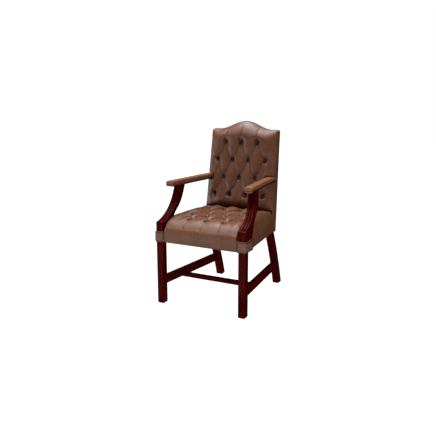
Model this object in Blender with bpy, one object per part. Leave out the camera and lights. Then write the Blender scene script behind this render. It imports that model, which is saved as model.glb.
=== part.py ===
"""A deep-buttoned library armchair: a tenoned wooden frame, webbing, padded leather and studs.

Metres, +Z up. The chair faces -Y. Pieces are drawn with y = 0 at the front legs' front face,
and their parent, an empty, moves them so that the origin is on the floor under the chair's middle.
"""

import math

import bmesh
import bpy
from mathutils import Vector

# Sizes named RISE are heights above the seat rails' top, and DROP or SKIRT are below something

# Fits
CLEARANCE = 0.0003
TENON_THICKNESS = 0.010
TENON_SHOULDER = 0.006
LONG_TENON = 0.016
SHORT_TENON = 0.012

# Legs
FRONT_WIDTH = 0.564
FRONT_LEG = 0.042
REAR_WIDTH = 0.456
REAR_LEG_WIDTH = 0.042
REAR_LEG_DEPTH = 0.045
FOOT_CHAMFER = 0.005
HEEL = 0.694
FOOT_SPLAY = 0.30
KNEE_SETBACK = 0.017
KNEE_DROP = 0.075
SWEEP_STEPS = 8

# Seat frame
RAIL_TOP = 0.437
RAIL_DEPTH = 0.059
RAIL_THICKNESS = 0.024
FRONT_RAIL_SETBACK = 0.010
BACK_RAIL_SETBACK = 0.001
SEAT_BACK_RAIL = 0.018
CORNER_BLOCK_THICKNESS = 0.034
CORNER_BLOCK_GAP = 0.005
CORNER_BLOCK_INSET = 0.006
CORNER_BLOCK_HEIGHT = 0.040

# Stretchers
STRETCHER_LOW = 0.113
STRETCHER_HIGH = 0.163
STRETCHER_THICKNESS = 0.025
CROSS_LOW = 0.113
CROSS_HIGH = 0.139
CROSS_THICKNESS = 0.024
CROSS_Y = 0.2125

# Back frame
UPRIGHT_REAR = 0.566
UPRIGHT_DEPTH = 0.034
RAKE = 0.108
BACK_NARROWING = 0.0192
SHOULDER_RISE = 0.555
HUMP_HEIGHT = 0.0485
HUMP_HALF_WIDTH = 0.185
CREST_RAIL_DROP = 0.057
LOWER_RAIL_RISE = 0.083
LOWER_RAIL_HEIGHT = 0.040
BACK_RAIL_THICKNESS = 0.026
OUTLINE_STEPS = 30

# Arms
ARM_WIDTH = 0.049
ARM_THICKNESS = 0.033
ARM_RISE = 0.2795
ARM_CROWN = 0.004
ARM_FRONT_Y = 0.100
ARM_FRONT_INSET = 0.008
ARM_REAR_PROUD = 0.0058
ARM_RAIL_THICKNESS = 0.016
ARM_COVER = 0.003
# Half of a pad's section: share of the half width, and how many crowns below the top
ARM_PROFILE = ((1.0, 2.0), (0.92, 1.0), (0.5, 0.25))
# Along a pad: share of its length, crowns that its top drops, share that it narrows
ARM_STATIONS = ((0.0, 1.0, 0.08), (0.012, 0.25, 0.0), (0.03, 0.0, 0.0), (1.0, 0.0, 0.0))

# Arm supports
SUPPORT_WIDTH = 0.0475
SUPPORT_LEAN = 0.10
SUPPORT_TOE_RISE = 0.054
SUPPORT_FOOT_DEPTH = 0.0875
SUPPORT_TOP_FRONT = 0.171
SUPPORT_TOP_REAR = 0.217
SUPPORT_STEPS = 8
# Middle control points of the curves of the front and rear edges, as shares of run and rise
TOE_PULL = ((0.590, 0.143), (0.900, 0.464))
HEEL_PULL = ((0.244, 0.587), (0.753, 0.302))
HEEL_START = 0.22
REED_DEPTH = 0.003
# Three reeds across the front: share of the width, and of REED_DEPTH below the face
REEDS = ((0.0, 0.8), (0.08, 0.0), (0.29, 0.0), (0.335, 1.0), (0.38, 0.0),
         (0.62, 0.0), (0.665, 1.0), (0.71, 0.0), (0.92, 0.0), (1.0, 0.8))
FOOT_TENON = 0.012
FOOT_TENON_LENGTH = 0.020
TOP_TENON = 0.016
TOP_TENON_LENGTH = 0.009

# Upholstery
LEATHER = 0.005
PAD_EDGE = 0.012
WEB_THICKNESS = 0.002
WEB_WIDTH = 0.046
WEB_LAP = 0.014
PANEL_THICKNESS = 0.007
DUST_COVER = 0.001

# Seat cushion
SEAT_SKIRT = 0.005
SEAT_EDGE_RISE = 0.063
SEAT_CROWN_RISE = 0.093
SEAT_REAR_RISE = 0.074
SEAT_FRONT_PROUD = 0.004
SEAT_FRONT_SIDE_PROUD = 0.0085
SEAT_REAR_SIDE_PROUD = 0.0105
SEAT_REAR_GAP = 0.0285
SEAT_WALL = 0.010
SEAT_BUTTON_DEPTH = 0.026
SEAT_FIRST_ROW = 0.085
SEAT_ROW_PITCH = 0.115
SEAT_BUTTON_PITCH = 0.110
# Rings round the seat's sides: share of the way out, of the way down, and of a fold's depth
SEAT_RINGS = ((1.0, 0.16, 0.5), (0.85, 1.0, 0.1))

# Back cushion
BACK_PAD_RISE = 0.076
BACK_SKIRT = 0.008
BACK_SIDE_LOW = 0.037
BACK_SIDE_HIGH = 0.0095
BACK_CROWN = 0.044
BACK_BUTTON_DEPTH = 0.026
BACK_TOP_ROW_DROP = 0.080
BACK_ROW_PITCH = 0.1075
BACK_BUTTON_PITCH = 0.110
# Rings round the back's sides, as for the seat
BACK_RINGS = ((0.8, 0.10, 0.4), (1.0, 1.0, 0.0))

# Buttons and the folds between them
BUTTON_ROWS = 4
BUTTON_RADIUS = 0.008
BUTTON_HEIGHT = 0.005
BUTTON_LIFT = 0.003
# A button's section from the top: share of its radius and of its height
BUTTON_DOME = ((0.5, 1.0), (1.0, 0.45), (1.0, 0.0))
TWINE_RADIUS = 0.0015
BUTTON_SIDES = 6
PLEAT_WIDTH = 0.012
DIMPLE_WIDTH = 0.017
# Shares of a button's depth: halfway along a fold, its rise to the ends, on a pleat to an edge,
# its fall along the pleat, and the least that is left near the sides
FOLD_HOLD = 0.50
FOLD_RISE = 0.35
PLEAT_HOLD = 0.70
PLEAT_FALL = 0.45
SIDE_HOLD = 0.25
# Buttons of the next row within this share of the pitch are joined by a fold
FOLD_REACH = 0.75
# How sharply the deepest of the folds at a point wins over the others
FOLD_POWER = 4
# Mesh steps between two rows, and from the outermost buttons to an edge
GRID_STEPS = 3
EDGE_STEPS = 2

# Patches and studs
PATCH_THICKNESS = 0.005
PATCH_SKIRT = 0.003
PATCH_FRONT_WIDTH = 0.056
PATCH_SIDE_DEPTH = 0.092
STUD_BAND = 0.009
STUD_PROUD = 0.002
BACK_STUD_INSET = 0.004

# Screws
SCREW_RADIUS = 0.0022
SCREW_HEAD_RADIUS = 0.0045
SCREW_HEAD = 0.003
SCREW_SIDES = 8
ARM_SCREW_LENGTH = 0.050
BLOCK_SCREW_BITE = 0.009
SUPPORT_SCREW_BITE = 0.022

LEFT, RIGHT = -1, 1
SIDES = {"left": LEFT, "right": RIGHT}

# Sizes that follow from the ones above
FRONT_LEG_X = (FRONT_WIDTH - FRONT_LEG) / 2
REAR_LEG_X = (REAR_WIDTH - REAR_LEG_WIDTH) / 2
RAIL_BOTTOM = RAIL_TOP - RAIL_DEPTH
CORNER_BLOCK_LOW = RAIL_BOTTOM + CORNER_BLOCK_INSET
CORNER_BLOCK_HIGH = CORNER_BLOCK_LOW + CORNER_BLOCK_HEIGHT
KNEE_Y = UPRIGHT_REAR - KNEE_SETBACK
KNEE_Z = RAIL_TOP - KNEE_DROP
UPRIGHT_FRONT = UPRIGHT_REAR - UPRIGHT_DEPTH
SHOULDER_Z = RAIL_TOP + SHOULDER_RISE
BACK_TAPER = BACK_NARROWING / REAR_WIDTH / SHOULDER_RISE
CREST_RAIL_BOTTOM = SHOULDER_Z - CREST_RAIL_DROP
LOWER_RAIL_BOTTOM = RAIL_TOP + LOWER_RAIL_RISE
LOWER_RAIL_TOP = LOWER_RAIL_BOTTOM + LOWER_RAIL_HEIGHT
UPRIGHT_TOP = SHOULDER_Z - LEATHER - CLEARANCE
ARM_TOP = RAIL_TOP + ARM_RISE
ARM_BOTTOM = ARM_TOP - ARM_THICKNESS
ARM_RAIL_TOP = ARM_BOTTOM + ARM_RAIL_THICKNESS
ARM_FRONT_HALF = FRONT_WIDTH / 2 - ARM_FRONT_INSET
ARM_REAR_HALF = REAR_WIDTH / 2 * (1 - BACK_TAPER * ARM_RISE) + ARM_REAR_PROUD
SUPPORT_TOE_Z = RAIL_TOP + SUPPORT_TOE_RISE
WEB_STEP = WEB_THICKNESS + 2 * CLEARANCE
PANEL_REAR = UPRIGHT_REAR + CLEARANCE + PANEL_THICKNESS
BACK_HALF = REAR_WIDTH / 2 + CLEARANCE + LEATHER
BACK_FACE_Y = UPRIGHT_FRONT - BACK_SIDE_LOW - BACK_CROWN
FRONT_PROUD = 2 * CLEARANCE + PATCH_THICKNESS + STUD_PROUD
WELL_HEIGHT = 2 * max(SEAT_BUTTON_DEPTH, BACK_BUTTON_DEPTH)
PATCH_BOTTOM = RAIL_BOTTOM - PATCH_SKIRT
SEAT_BOTTOM = RAIL_BOTTOM - SEAT_SKIRT
SEAT_EDGE_Z = RAIL_TOP + SEAT_EDGE_RISE
SEAT_CROWN_Z = RAIL_TOP + SEAT_CROWN_RISE
SEAT_REAR_Z = RAIL_TOP + SEAT_REAR_RISE
SEAT_REAR_Y = UPRIGHT_FRONT - SEAT_REAR_GAP
SEAT_FRONT_EDGE = -SEAT_FRONT_PROUD
BACK_PAD_BOTTOM = RAIL_TOP + BACK_PAD_RISE
BACK_SKIRT_BOTTOM = RAIL_BOTTOM - BACK_SKIRT
BACK_TOP_ROW = SHOULDER_Z - BACK_TOP_ROW_DROP
SEAT_FRONT_HALF = FRONT_WIDTH / 2 + SEAT_FRONT_SIDE_PROUD
SEAT_REAR_HALF = REAR_WIDTH / 2 + SEAT_REAR_SIDE_PROUD

for old in list(bpy.data.objects):
    bpy.data.objects.remove(old, do_unlink=True)

chair = bpy.data.objects.new("chair", None)
chair.location.y = (FRONT_PROUD - HEEL) / 2
bpy.context.scene.collection.objects.link(chair)


def finish(name, color, roughness, metallic=0.0):
    """One Principled finish."""
    material = bpy.data.materials.new(name)
    material.use_nodes = True
    shader = material.node_tree.nodes["Principled BSDF"]
    shader.inputs["Base Color"].default_value = (*color, 1.0)
    shader.inputs["Roughness"].default_value = roughness
    shader.inputs["Metallic"].default_value = metallic
    return material


MAHOGANY = finish("mahogany", (0.085, 0.012, 0.008), 0.25)
BEECH = finish("beech", (0.52, 0.36, 0.21), 0.6)
HIDE = finish("brown_leather", (0.15, 0.075, 0.048), 0.42)
JUTE = finish("jute_webbing", (0.40, 0.30, 0.17), 0.9)
CAMBRIC = finish("black_cambric", (0.02, 0.02, 0.02), 0.95)
ANTIQUE_BRASS = finish("antique_brass", (0.20, 0.14, 0.07), 0.4, 1.0)
STEEL = finish("screw_steel", (0.55, 0.55, 0.55), 0.4, 1.0)


def piece(name, bm, material=None):
    """Makes a bmesh an object of the chair. With no material it is a guide for a cut or a join."""
    bmesh.ops.recalc_face_normals(bm, faces=bm.faces)
    mesh = bpy.data.meshes.new(name)
    bm.to_mesh(mesh)
    bm.free()
    obj = bpy.data.objects.new(name, mesh)
    bpy.context.scene.collection.objects.link(obj)
    obj.parent = chair
    if material:
        mesh.materials.append(material)
    else:
        obj.hide_render = True
        obj.display_type = "WIRE"
    return obj


def combine(obj, operation, *others):
    """Cuts other objects out of obj, or joins them to it."""
    for other in others:
        modifier = obj.modifiers.new(other.name, "BOOLEAN")
        modifier.operation = operation
        modifier.object = other
        modifier.solver = "EXACT"


def cut(obj, *others):
    combine(obj, "DIFFERENCE", *others)


def join(obj, *others):
    combine(obj, "UNION", *others)


def prism(outline, sweep):
    """A polygon pushed along a straight line."""
    bm = bmesh.new()
    face = bm.faces.new([bm.verts.new(point) for point in outline])
    grown = bmesh.ops.extrude_face_region(bm, geom=[face])
    moved = [item for item in grown["geom"] if isinstance(item, bmesh.types.BMVert)]
    bmesh.ops.translate(bm, verts=moved, vec=sweep)
    return bm


def box(low, high):
    """A block between two corners."""
    (x, y, z), (far_x, far_y, top) = low, high
    outline = [(x, y, z), (far_x, y, z), (far_x, far_y, z), (x, far_y, z)]
    return prism(outline, (0, 0, top - z))


def bar(start, end, width, low, high, grow=0.0):
    """A level bar between two points of the plan, larger all round by grow."""
    along = (end - start).normalized()
    across = Vector((-along.y, along.x)) * (width / 2 + grow)
    first, last = start - along * grow, end + along * grow
    corners = (first - across, last - across, last + across, first + across)
    return prism([(c.x, c.y, low - grow) for c in corners], (0, 0, high - low + 2 * grow))


def loft(sections):
    """A skin over a run of sections with the same number of points, closed at both ends."""
    bm = bmesh.new()
    loops = [[bm.verts.new(point) for point in section] for section in sections]
    count = len(loops[0])
    for near, far in zip(loops, loops[1:]):
        for i in range(count):
            j = (i + 1) % count
            bm.faces.new((near[i], near[j], far[j], far[i]))
    bm.faces.new(loops[0])
    bm.faces.new(loops[-1])
    return bm


def turned(profile, sides, origin, axis, bm=None):
    """Turns (radius, distance) points about an axis. The profile starts and ends off the axis."""
    bm = bm or bmesh.new()
    axis = Vector(axis).normalized()
    side = axis.orthogonal().normalized()
    other = axis.cross(side)
    loops = []
    for radius, distance in profile:
        loop = []
        for i in range(sides):
            angle = 2 * math.pi * (i + 0.5) / sides
            spoke = side * math.cos(angle) + other * math.sin(angle)
            loop.append(bm.verts.new(Vector(origin) + axis * distance + spoke * radius))
        loops.append(loop)
    for near, far in zip(loops, loops[1:]):
        for i in range(sides):
            j = (i + 1) % sides
            bm.faces.new((near[i], near[j], far[j], far[i]))
    bm.faces.new(loops[0])
    bm.faces.new(loops[-1])
    return bm


def lean(bm):
    """Rakes and narrows what was drawn upright, by its height above the seat rails."""
    for vert in bm.verts:
        rise = vert.co.z - RAIL_TOP
        vert.co.x *= 1 - BACK_TAPER * rise
        vert.co.y += RAKE * rise
    return bm


def pulled_curve(start, pulls, end):
    """Four control points of a cubic curve: the middle two as shares of its run and its rise."""
    start, end = Vector(start), Vector(end)
    return [start, *(start + (end - start) * Vector(pull) for pull in pulls), end]


def bezier(points, t):
    """A point of a cubic curve in the side view."""
    weights = ((1 - t) ** 3, 3 * t * (1 - t) ** 2, 3 * t * t * (1 - t), t ** 3)
    return Vector([sum(w * p[i] for w, p in zip(weights, points)) for i in (0, 1)])


def chamfer_foot(bm):
    """Takes the sharp edges off the end that stands on the floor."""
    edges = [e for e in bm.edges if all(abs(v.co.z) < FOOT_CHAMFER / 10 for v in e.verts)]
    bmesh.ops.bevel(bm, geom=edges, offset=FOOT_CHAMFER, segments=1, affect="EDGES")
    return bm


# Legs


def front_leg(side, grow=0.0):
    half = FRONT_LEG / 2 + grow
    centre = side * FRONT_LEG_X
    middle = FRONT_LEG / 2
    return box((centre - half, middle - half, 0), (centre + half, middle + half, RAIL_TOP + grow))


def leg_rear_edge(z):
    """How far back the swept rear leg's rear edge is, below the knee."""
    bend = (HEEL - KNEE_Y - FOOT_SPLAY * KNEE_Z) / KNEE_Z ** 2
    return HEEL - FOOT_SPLAY * z - bend * z * z


def rear_leg(side, grow=0.0):
    """The swept leg and the back's upright, in one piece."""
    levels = [KNEE_Z * i / SWEEP_STEPS for i in range(SWEEP_STEPS + 1)]
    edge = [(leg_rear_edge(z), z, REAR_LEG_DEPTH) for z in levels]
    top_y = UPRIGHT_REAR + RAKE * (UPRIGHT_TOP + grow - RAIL_TOP)
    edge.append((UPRIGHT_REAR, RAIL_TOP, UPRIGHT_DEPTH))
    edge.append((top_y, UPRIGHT_TOP + grow, UPRIGHT_DEPTH))
    inner = side * REAR_LEG_X - REAR_LEG_WIDTH / 2 - grow
    rear = [(inner, y + grow, z) for y, z, depth in edge]
    front = [(inner, y - depth - grow, z) for y, z, depth in edge]
    bm = prism(rear + front[::-1], (REAR_LEG_WIDTH + 2 * grow, 0, 0))
    for vert in bm.verts:
        vert.co.x *= 1 - BACK_TAPER * max(0.0, vert.co.z - RAIL_TOP)
    return bm


front_legs, rear_legs, front_guides, rear_guides = {}, {}, {}, {}
for label, side in SIDES.items():
    front_legs[label] = piece("front_leg_" + label, chamfer_foot(front_leg(side)), MAHOGANY)
    rear_legs[label] = piece("rear_leg_" + label, chamfer_foot(rear_leg(side)), MAHOGANY)
    front_guides[label] = piece("guide_front_leg_" + label, front_leg(side, CLEARANCE))
    rear_guides[label] = piece("guide_rear_leg_" + label, rear_leg(side, CLEARANCE))


# Rails and stretchers


def tenoned_bar(name, start, end, width, low, high, hosts, material):
    """A bar from tenon tip to tenon tip. Each host is a piece and its slightly larger guide."""
    rail = piece(name, bar(start, end, width, low, high), material)
    cut(rail, *(guide for _, guide in hosts))
    inside = (low + TENON_SHOULDER, high - TENON_SHOULDER)
    join(rail, piece("tenon_" + name, bar(start, end, TENON_THICKNESS, *inside)))
    mortise = piece("mortise_" + name, bar(start, end, TENON_THICKNESS, *inside, CLEARANCE))
    for host, _ in hosts:
        cut(host, mortise)
    return rail


def leg_line(side, z):
    """The plan line through a side's two leg centres at a height, as a function of y."""
    front = Vector((side * FRONT_LEG_X, FRONT_LEG / 2))
    rear = Vector((side * REAR_LEG_X, leg_front_edge(z) + REAR_LEG_DEPTH / 2))

    def at(y):
        return front.lerp(rear, (y - front.y) / (rear.y - front.y))

    return at


def leg_front_edge(z):
    """How far back the rear leg's front face is at a height up to the seat rails."""
    if z <= KNEE_Z:
        return leg_rear_edge(z) - REAR_LEG_DEPTH
    share = (z - KNEE_Z) / (RAIL_TOP - KNEE_Z)
    return (KNEE_Y - REAR_LEG_DEPTH) * (1 - share) + UPRIGHT_FRONT * share


stretchers, stretcher_guides, side_rails = {}, {}, {}
for label, side in SIDES.items():
    hosts = [(front_legs[label], front_guides[label]), (rear_legs[label], rear_guides[label])]
    middle = (STRETCHER_LOW + STRETCHER_HIGH) / 2
    line = leg_line(side, middle)
    ends = line(FRONT_LEG - LONG_TENON), line(leg_front_edge(middle) + LONG_TENON)
    sizes = (STRETCHER_THICKNESS, STRETCHER_LOW, STRETCHER_HIGH)
    stretchers[label] = tenoned_bar("side_stretcher_" + label, *ends, *sizes, hosts, MAHOGANY)
    stretcher_guides[label] = piece("guide_stretcher_" + label, bar(*ends, *sizes, CLEARANCE))

    middle = (RAIL_BOTTOM + RAIL_TOP) / 2
    rail_line = leg_line(side, middle)
    ends = rail_line(FRONT_LEG - LONG_TENON), rail_line(leg_front_edge(middle) + LONG_TENON)
    sizes = (RAIL_THICKNESS, RAIL_BOTTOM, RAIL_TOP - CLEARANCE)
    side_rails[label] = tenoned_bar("seat_side_rail_" + label, *ends, *sizes, hosts, BEECH)
    side_rails[label + "_guide"] = piece("guide_rail_" + label, bar(*ends, *sizes, CLEARANCE))

cross_line = leg_line(RIGHT, (STRETCHER_LOW + STRETCHER_HIGH) / 2)
cross_tip = cross_line(CROSS_Y).x - STRETCHER_THICKNESS / 2 + SHORT_TENON
tenoned_bar(
    "cross_stretcher", Vector((-cross_tip, CROSS_Y)), Vector((cross_tip, CROSS_Y)),
    CROSS_THICKNESS, CROSS_LOW, CROSS_HIGH,
    [(stretchers[label], stretcher_guides[label]) for label in SIDES], MAHOGANY)

rail_y = FRONT_RAIL_SETBACK + RAIL_THICKNESS / 2
rail_tip = FRONT_WIDTH / 2 - FRONT_LEG + SHORT_TENON
front_rail_ends = Vector((-rail_tip, rail_y)), Vector((rail_tip, rail_y))
rail_sizes = (RAIL_THICKNESS, RAIL_BOTTOM, RAIL_TOP - CLEARANCE)
tenoned_bar("seat_front_rail", *front_rail_ends, *rail_sizes,
            [(front_legs[label], front_guides[label]) for label in SIDES], BEECH)
front_rail_guide = piece("guide_front_rail", bar(*front_rail_ends, *rail_sizes, CLEARANCE))

rail_y = UPRIGHT_FRONT + BACK_RAIL_SETBACK + SEAT_BACK_RAIL / 2
rail_sizes = (SEAT_BACK_RAIL, RAIL_BOTTOM, RAIL_TOP - CLEARANCE)
rail_tip = REAR_WIDTH / 2 - REAR_LEG_WIDTH + SHORT_TENON
back_rail_ends = Vector((-rail_tip, rail_y)), Vector((rail_tip, rail_y))
tenoned_bar("seat_back_rail", *back_rail_ends, *rail_sizes,
            [(rear_legs[label], rear_guides[label]) for label in SIDES], BEECH)
back_rail_guide = piece("guide_back_rail", bar(*back_rail_ends, *rail_sizes, CLEARANCE))


# Corner blocks, each with one screw into its leg


def screw(name, head, direction, length, hosts):
    """A countersunk screw: its head's face is at head, and it bites along direction."""
    def profile(grow):
        shank = SCREW_RADIUS + grow
        return [(SCREW_HEAD_RADIUS + grow, -grow), (shank, SCREW_HEAD), (shank, length + grow)]

    piece(name, turned(profile(0.0), SCREW_SIDES, head, direction), STEEL)
    hole = profile(CLEARANCE)
    hole.insert(0, (SCREW_HEAD_RADIUS + CLEARANCE, -length))
    drill = piece("drill_" + name, turned(hole, SCREW_SIDES, head, direction))
    for host in hosts:
        cut(host, drill)


def brace_outline(side, line, rail_y, inward, edge):
    """A brace across a corner of the seat frame, clear of the leg's inner edge."""
    corner = line(rail_y)
    near = abs(corner.x - edge.x) + abs(corner.y - edge.y) + CORNER_BLOCK_GAP
    far = near + CORNER_BLOCK_THICKNESS * math.sqrt(2)
    across = Vector((side, 0))
    return (corner - across * near, corner - across * far,
            line(rail_y + inward * far), line(rail_y + inward * near))


for label, side in SIDES.items():
    line = leg_line(side, (RAIL_BOTTOM + RAIL_TOP) / 2)
    block_middle = (CORNER_BLOCK_LOW + CORNER_BLOCK_HIGH) / 2
    front_edge = Vector((side * (FRONT_WIDTH / 2 - FRONT_LEG), FRONT_LEG))
    rear_edge = Vector((side * (REAR_WIDTH / 2 - REAR_LEG_WIDTH), leg_front_edge(CORNER_BLOCK_LOW)))
    ends = {
        "front": (front_rail_ends[0].y, 1, front_edge, front_legs[label], front_rail_guide),
        "rear": (back_rail_ends[0].y, -1, rear_edge, rear_legs[label], back_rail_guide),
    }
    for end, (rail_y, inward, edge, leg, guide) in ends.items():
        outline = brace_outline(side, line, rail_y, inward, edge)
        block = piece(
            "corner_block_%s_%s" % (end, label),
            prism([(p.x, p.y, CORNER_BLOCK_LOW) for p in outline],
                  (0, 0, CORNER_BLOCK_HIGH - CORNER_BLOCK_LOW)), BEECH)
        cut(block, guide, side_rails[label + "_guide"])
        aim = Vector((side, -inward)).normalized()
        inner = edge - aim * (CORNER_BLOCK_THICKNESS + CORNER_BLOCK_GAP / math.sqrt(2))
        head = Vector((inner.x, inner.y, block_middle)) + aim.to_3d() * SCREW_HEAD
        screw("block_screw_%s_%s" % (end, label), head, aim.to_3d(),
              CORNER_BLOCK_THICKNESS + BLOCK_SCREW_BITE, (block, leg))


# Back frame: crest rail and lower rail


def outline_top(x, inset):
    """The camel back's top edge, drawn in by inset."""
    share = min(1.0, abs(x) / HUMP_HALF_WIDTH)
    return SHOULDER_Z + HUMP_HEIGHT * (1 + math.cos(math.pi * share)) / 2 - inset


def top_curve(half, inset):
    """Points along the camel top from left to right."""
    steps = [half * (2 * i / OUTLINE_STEPS - 1) for i in range(OUTLINE_STEPS + 1)]
    return [(x, outline_top(x, inset)) for x in steps]


def back_slab(outline, front, depth):
    """An outline in the back's own plane, pushed back from front, then raked."""
    return lean(prism([(x, front, z) for x, z in outline], (0, depth, 0)))


def back_rail(name, outline, tenon_low, tenon_high):
    """A rail between the uprights, flush with their front faces."""
    rail = piece(name, back_slab(outline, UPRIGHT_FRONT, BACK_RAIL_THICKNESS), BEECH)
    cut(rail, *rear_guides.values())
    tip = REAR_WIDTH / 2 - REAR_LEG_WIDTH + SHORT_TENON
    front = UPRIGHT_FRONT + (BACK_RAIL_THICKNESS - TENON_THICKNESS) / 2

    def tenon(grow):
        low = (-tip - grow, front - grow, tenon_low - grow)
        high = (tip + grow, front + TENON_THICKNESS + grow, tenon_high + grow)
        return lean(box(low, high))

    join(rail, piece("tenon_" + name, tenon(0.0)))
    mortise = piece("mortise_" + name, tenon(CLEARANCE))
    for leg in rear_legs.values():
        cut(leg, mortise)


rail_half = REAR_WIDTH / 2 - REAR_LEG_WIDTH / 2
crest = top_curve(rail_half, LEATHER + CLEARANCE)
crest += [(rail_half, CREST_RAIL_BOTTOM), (-rail_half, CREST_RAIL_BOTTOM)]
back_rail("back_crest_rail", crest,
          CREST_RAIL_BOTTOM + TENON_SHOULDER, UPRIGHT_TOP - 2 * TENON_SHOULDER)
lower = [(-rail_half, LOWER_RAIL_BOTTOM), (rail_half, LOWER_RAIL_BOTTOM),
         (rail_half, LOWER_RAIL_TOP), (-rail_half, LOWER_RAIL_TOP)]
back_rail("back_lower_rail", lower,
          LOWER_RAIL_BOTTOM + TENON_SHOULDER, LOWER_RAIL_TOP - TENON_SHOULDER)


# Arms: rail, padded cover and stud band on each


def arm_plan(side, front_y, rear_y, inset):
    """The arm's plan between two distances from the front, narrower by inset on each side."""
    def outer(y):
        share = (y - ARM_FRONT_Y) / (UPRIGHT_FRONT - ARM_FRONT_Y)
        return ARM_FRONT_HALF + (ARM_REAR_HALF - ARM_FRONT_HALF) * share

    corners = []
    for y, far in ((front_y, True), (rear_y, True), (rear_y, False), (front_y, False)):
        x = outer(y) - inset if far else outer(y) - ARM_WIDTH + inset
        corners.append((side * x, y))
    return corners


def arm_section(plan, y_share, crowns, narrow):
    """One section of a padded arm: flat below, straight sides, crowned top."""
    (fx, fy), (bx, by), (cx, cy), (dx, dy) = plan
    outer = Vector((fx, fy)).lerp(Vector((bx, by)), y_share)
    inner = Vector((dx, dy)).lerp(Vector((cx, cy)), y_share)
    middle, half = (outer + inner) / 2, (outer - inner) / 2 * (1 - narrow)
    top = ARM_TOP - ARM_CROWN * crowns
    edge = [(share, top - ARM_CROWN * down) for share, down in ARM_PROFILE]
    profile = [(-1.0, ARM_BOTTOM)] + [(-share, z) for share, z in edge] + [(0.0, top)]
    profile += edge[::-1] + [(1.0, ARM_BOTTOM)]
    return [(middle.x + half.x * u, middle.y + half.y * u, z) for u, z in profile]


rear_limit = UPRIGHT_FRONT + RAKE * (ARM_TOP - RAIL_TOP) + UPRIGHT_DEPTH / 2
behind_arms = piece("guide_behind_arms", lean(box(
    (-FRONT_WIDTH, UPRIGHT_FRONT - CLEARANCE, ARM_BOTTOM - ARM_THICKNESS),
    (FRONT_WIDTH, PANEL_REAR + UPRIGHT_DEPTH, ARM_TOP + ARM_THICKNESS))))
arm_rails, arm_notches = {}, []
for label, side in SIDES.items():
    inset = ARM_COVER + CLEARANCE
    plan = arm_plan(side, ARM_FRONT_Y + inset, rear_limit, inset)
    base = ARM_BOTTOM + CLEARANCE
    rail = piece("arm_rail_" + label,
                 prism([(x, y, base) for x, y in plan], (0, 0, ARM_RAIL_TOP - base)), MAHOGANY)
    arm_rails[label] = rail
    cut(rail, behind_arms)

    plan = arm_plan(side, ARM_FRONT_Y, rear_limit, 0.0)
    sections = [arm_section(plan, *station) for station in ARM_STATIONS]
    pad = piece("arm_pad_" + label, loft(sections), HIDE)
    hollow = arm_plan(side, ARM_FRONT_Y + ARM_COVER, rear_limit + UPRIGHT_DEPTH, ARM_COVER)
    below = ARM_BOTTOM - ARM_THICKNESS
    cut(pad, behind_arms, piece("hollow_arm_" + label, prism(
        [(x, y, below) for x, y in hollow], (0, 0, ARM_RAIL_TOP + CLEARANCE - below))))

    proud = CLEARANCE + STUD_PROUD
    outer = arm_plan(side, ARM_FRONT_Y - proud, rear_limit, -proud)
    inner = arm_plan(side, ARM_FRONT_Y - CLEARANCE, rear_limit + UPRIGHT_DEPTH, -CLEARANCE)
    band = piece("arm_studs_" + label,
                 prism([(x, y, ARM_BOTTOM) for x, y in outer], (0, 0, STUD_BAND)), ANTIQUE_BRASS)
    cut(band, behind_arms, piece("hollow_studs_" + label, prism(
        [(x, y, below) for x, y in inner], (0, 0, ARM_THICKNESS * 2 + STUD_BAND))))

    notch = arm_plan(side, ARM_FRONT_Y, rear_limit + UPRIGHT_DEPTH, -proud - CLEARANCE)
    notch = piece("notch_arm_" + label, prism(
        [(x, y, ARM_BOTTOM - CLEARANCE) for x, y in notch], (0, 0, ARM_THICKNESS + 2 * CLEARANCE)))
    cut(notch, behind_arms)
    arm_notches.append(notch)

    upright_z = (ARM_BOTTOM + ARM_RAIL_TOP) / 2
    rise = upright_z - RAIL_TOP
    upright_x = side * REAR_LEG_X * (1 - BACK_TAPER * rise)
    head = Vector((upright_x, UPRIGHT_REAR + RAKE * rise - SCREW_HEAD, upright_z))
    screw("arm_screw_" + label, head, (0, -1, 0), ARM_SCREW_LENGTH, (rear_legs[label], rail))


# Arm supports

TOE_CURVE = pulled_curve((0.0, SUPPORT_TOE_Z), TOE_PULL, (SUPPORT_TOP_FRONT, ARM_BOTTOM))
HEEL_CURVE = pulled_curve((SUPPORT_FOOT_DEPTH, RAIL_TOP), HEEL_PULL, (SUPPORT_TOP_REAR, ARM_BOTTOM))


def support_outer(z):
    """Half of the distance between the supports' outer faces, which lean in above the toe."""
    return FRONT_WIDTH / 2 - SUPPORT_LEAN * max(0.0, z - SUPPORT_TOE_Z)


def support_section(side, front, rear, sunk):
    """Across one station: a reeded front and a plain rear. sunk points into the wood."""
    points = [(share, front + sunk * depth * REED_DEPTH) for share, depth in REEDS]
    points += [(1.0, rear), (0.0, rear)]
    return [(side * (support_outer(spot.y) - SUPPORT_WIDTH * share), spot.x, spot.y)
            for share, spot in points]


def support_rear():
    """The rear edge's points in the side view, from the foot to the arm."""
    shares = [HEEL_START + (1 - HEEL_START) * i / SUPPORT_STEPS for i in range(SUPPORT_STEPS + 1)]
    foot = Vector((SUPPORT_FOOT_DEPTH, RAIL_TOP + CLEARANCE))
    return [foot] + [bezier(HEEL_CURVE, t) for t in shares]


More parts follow.
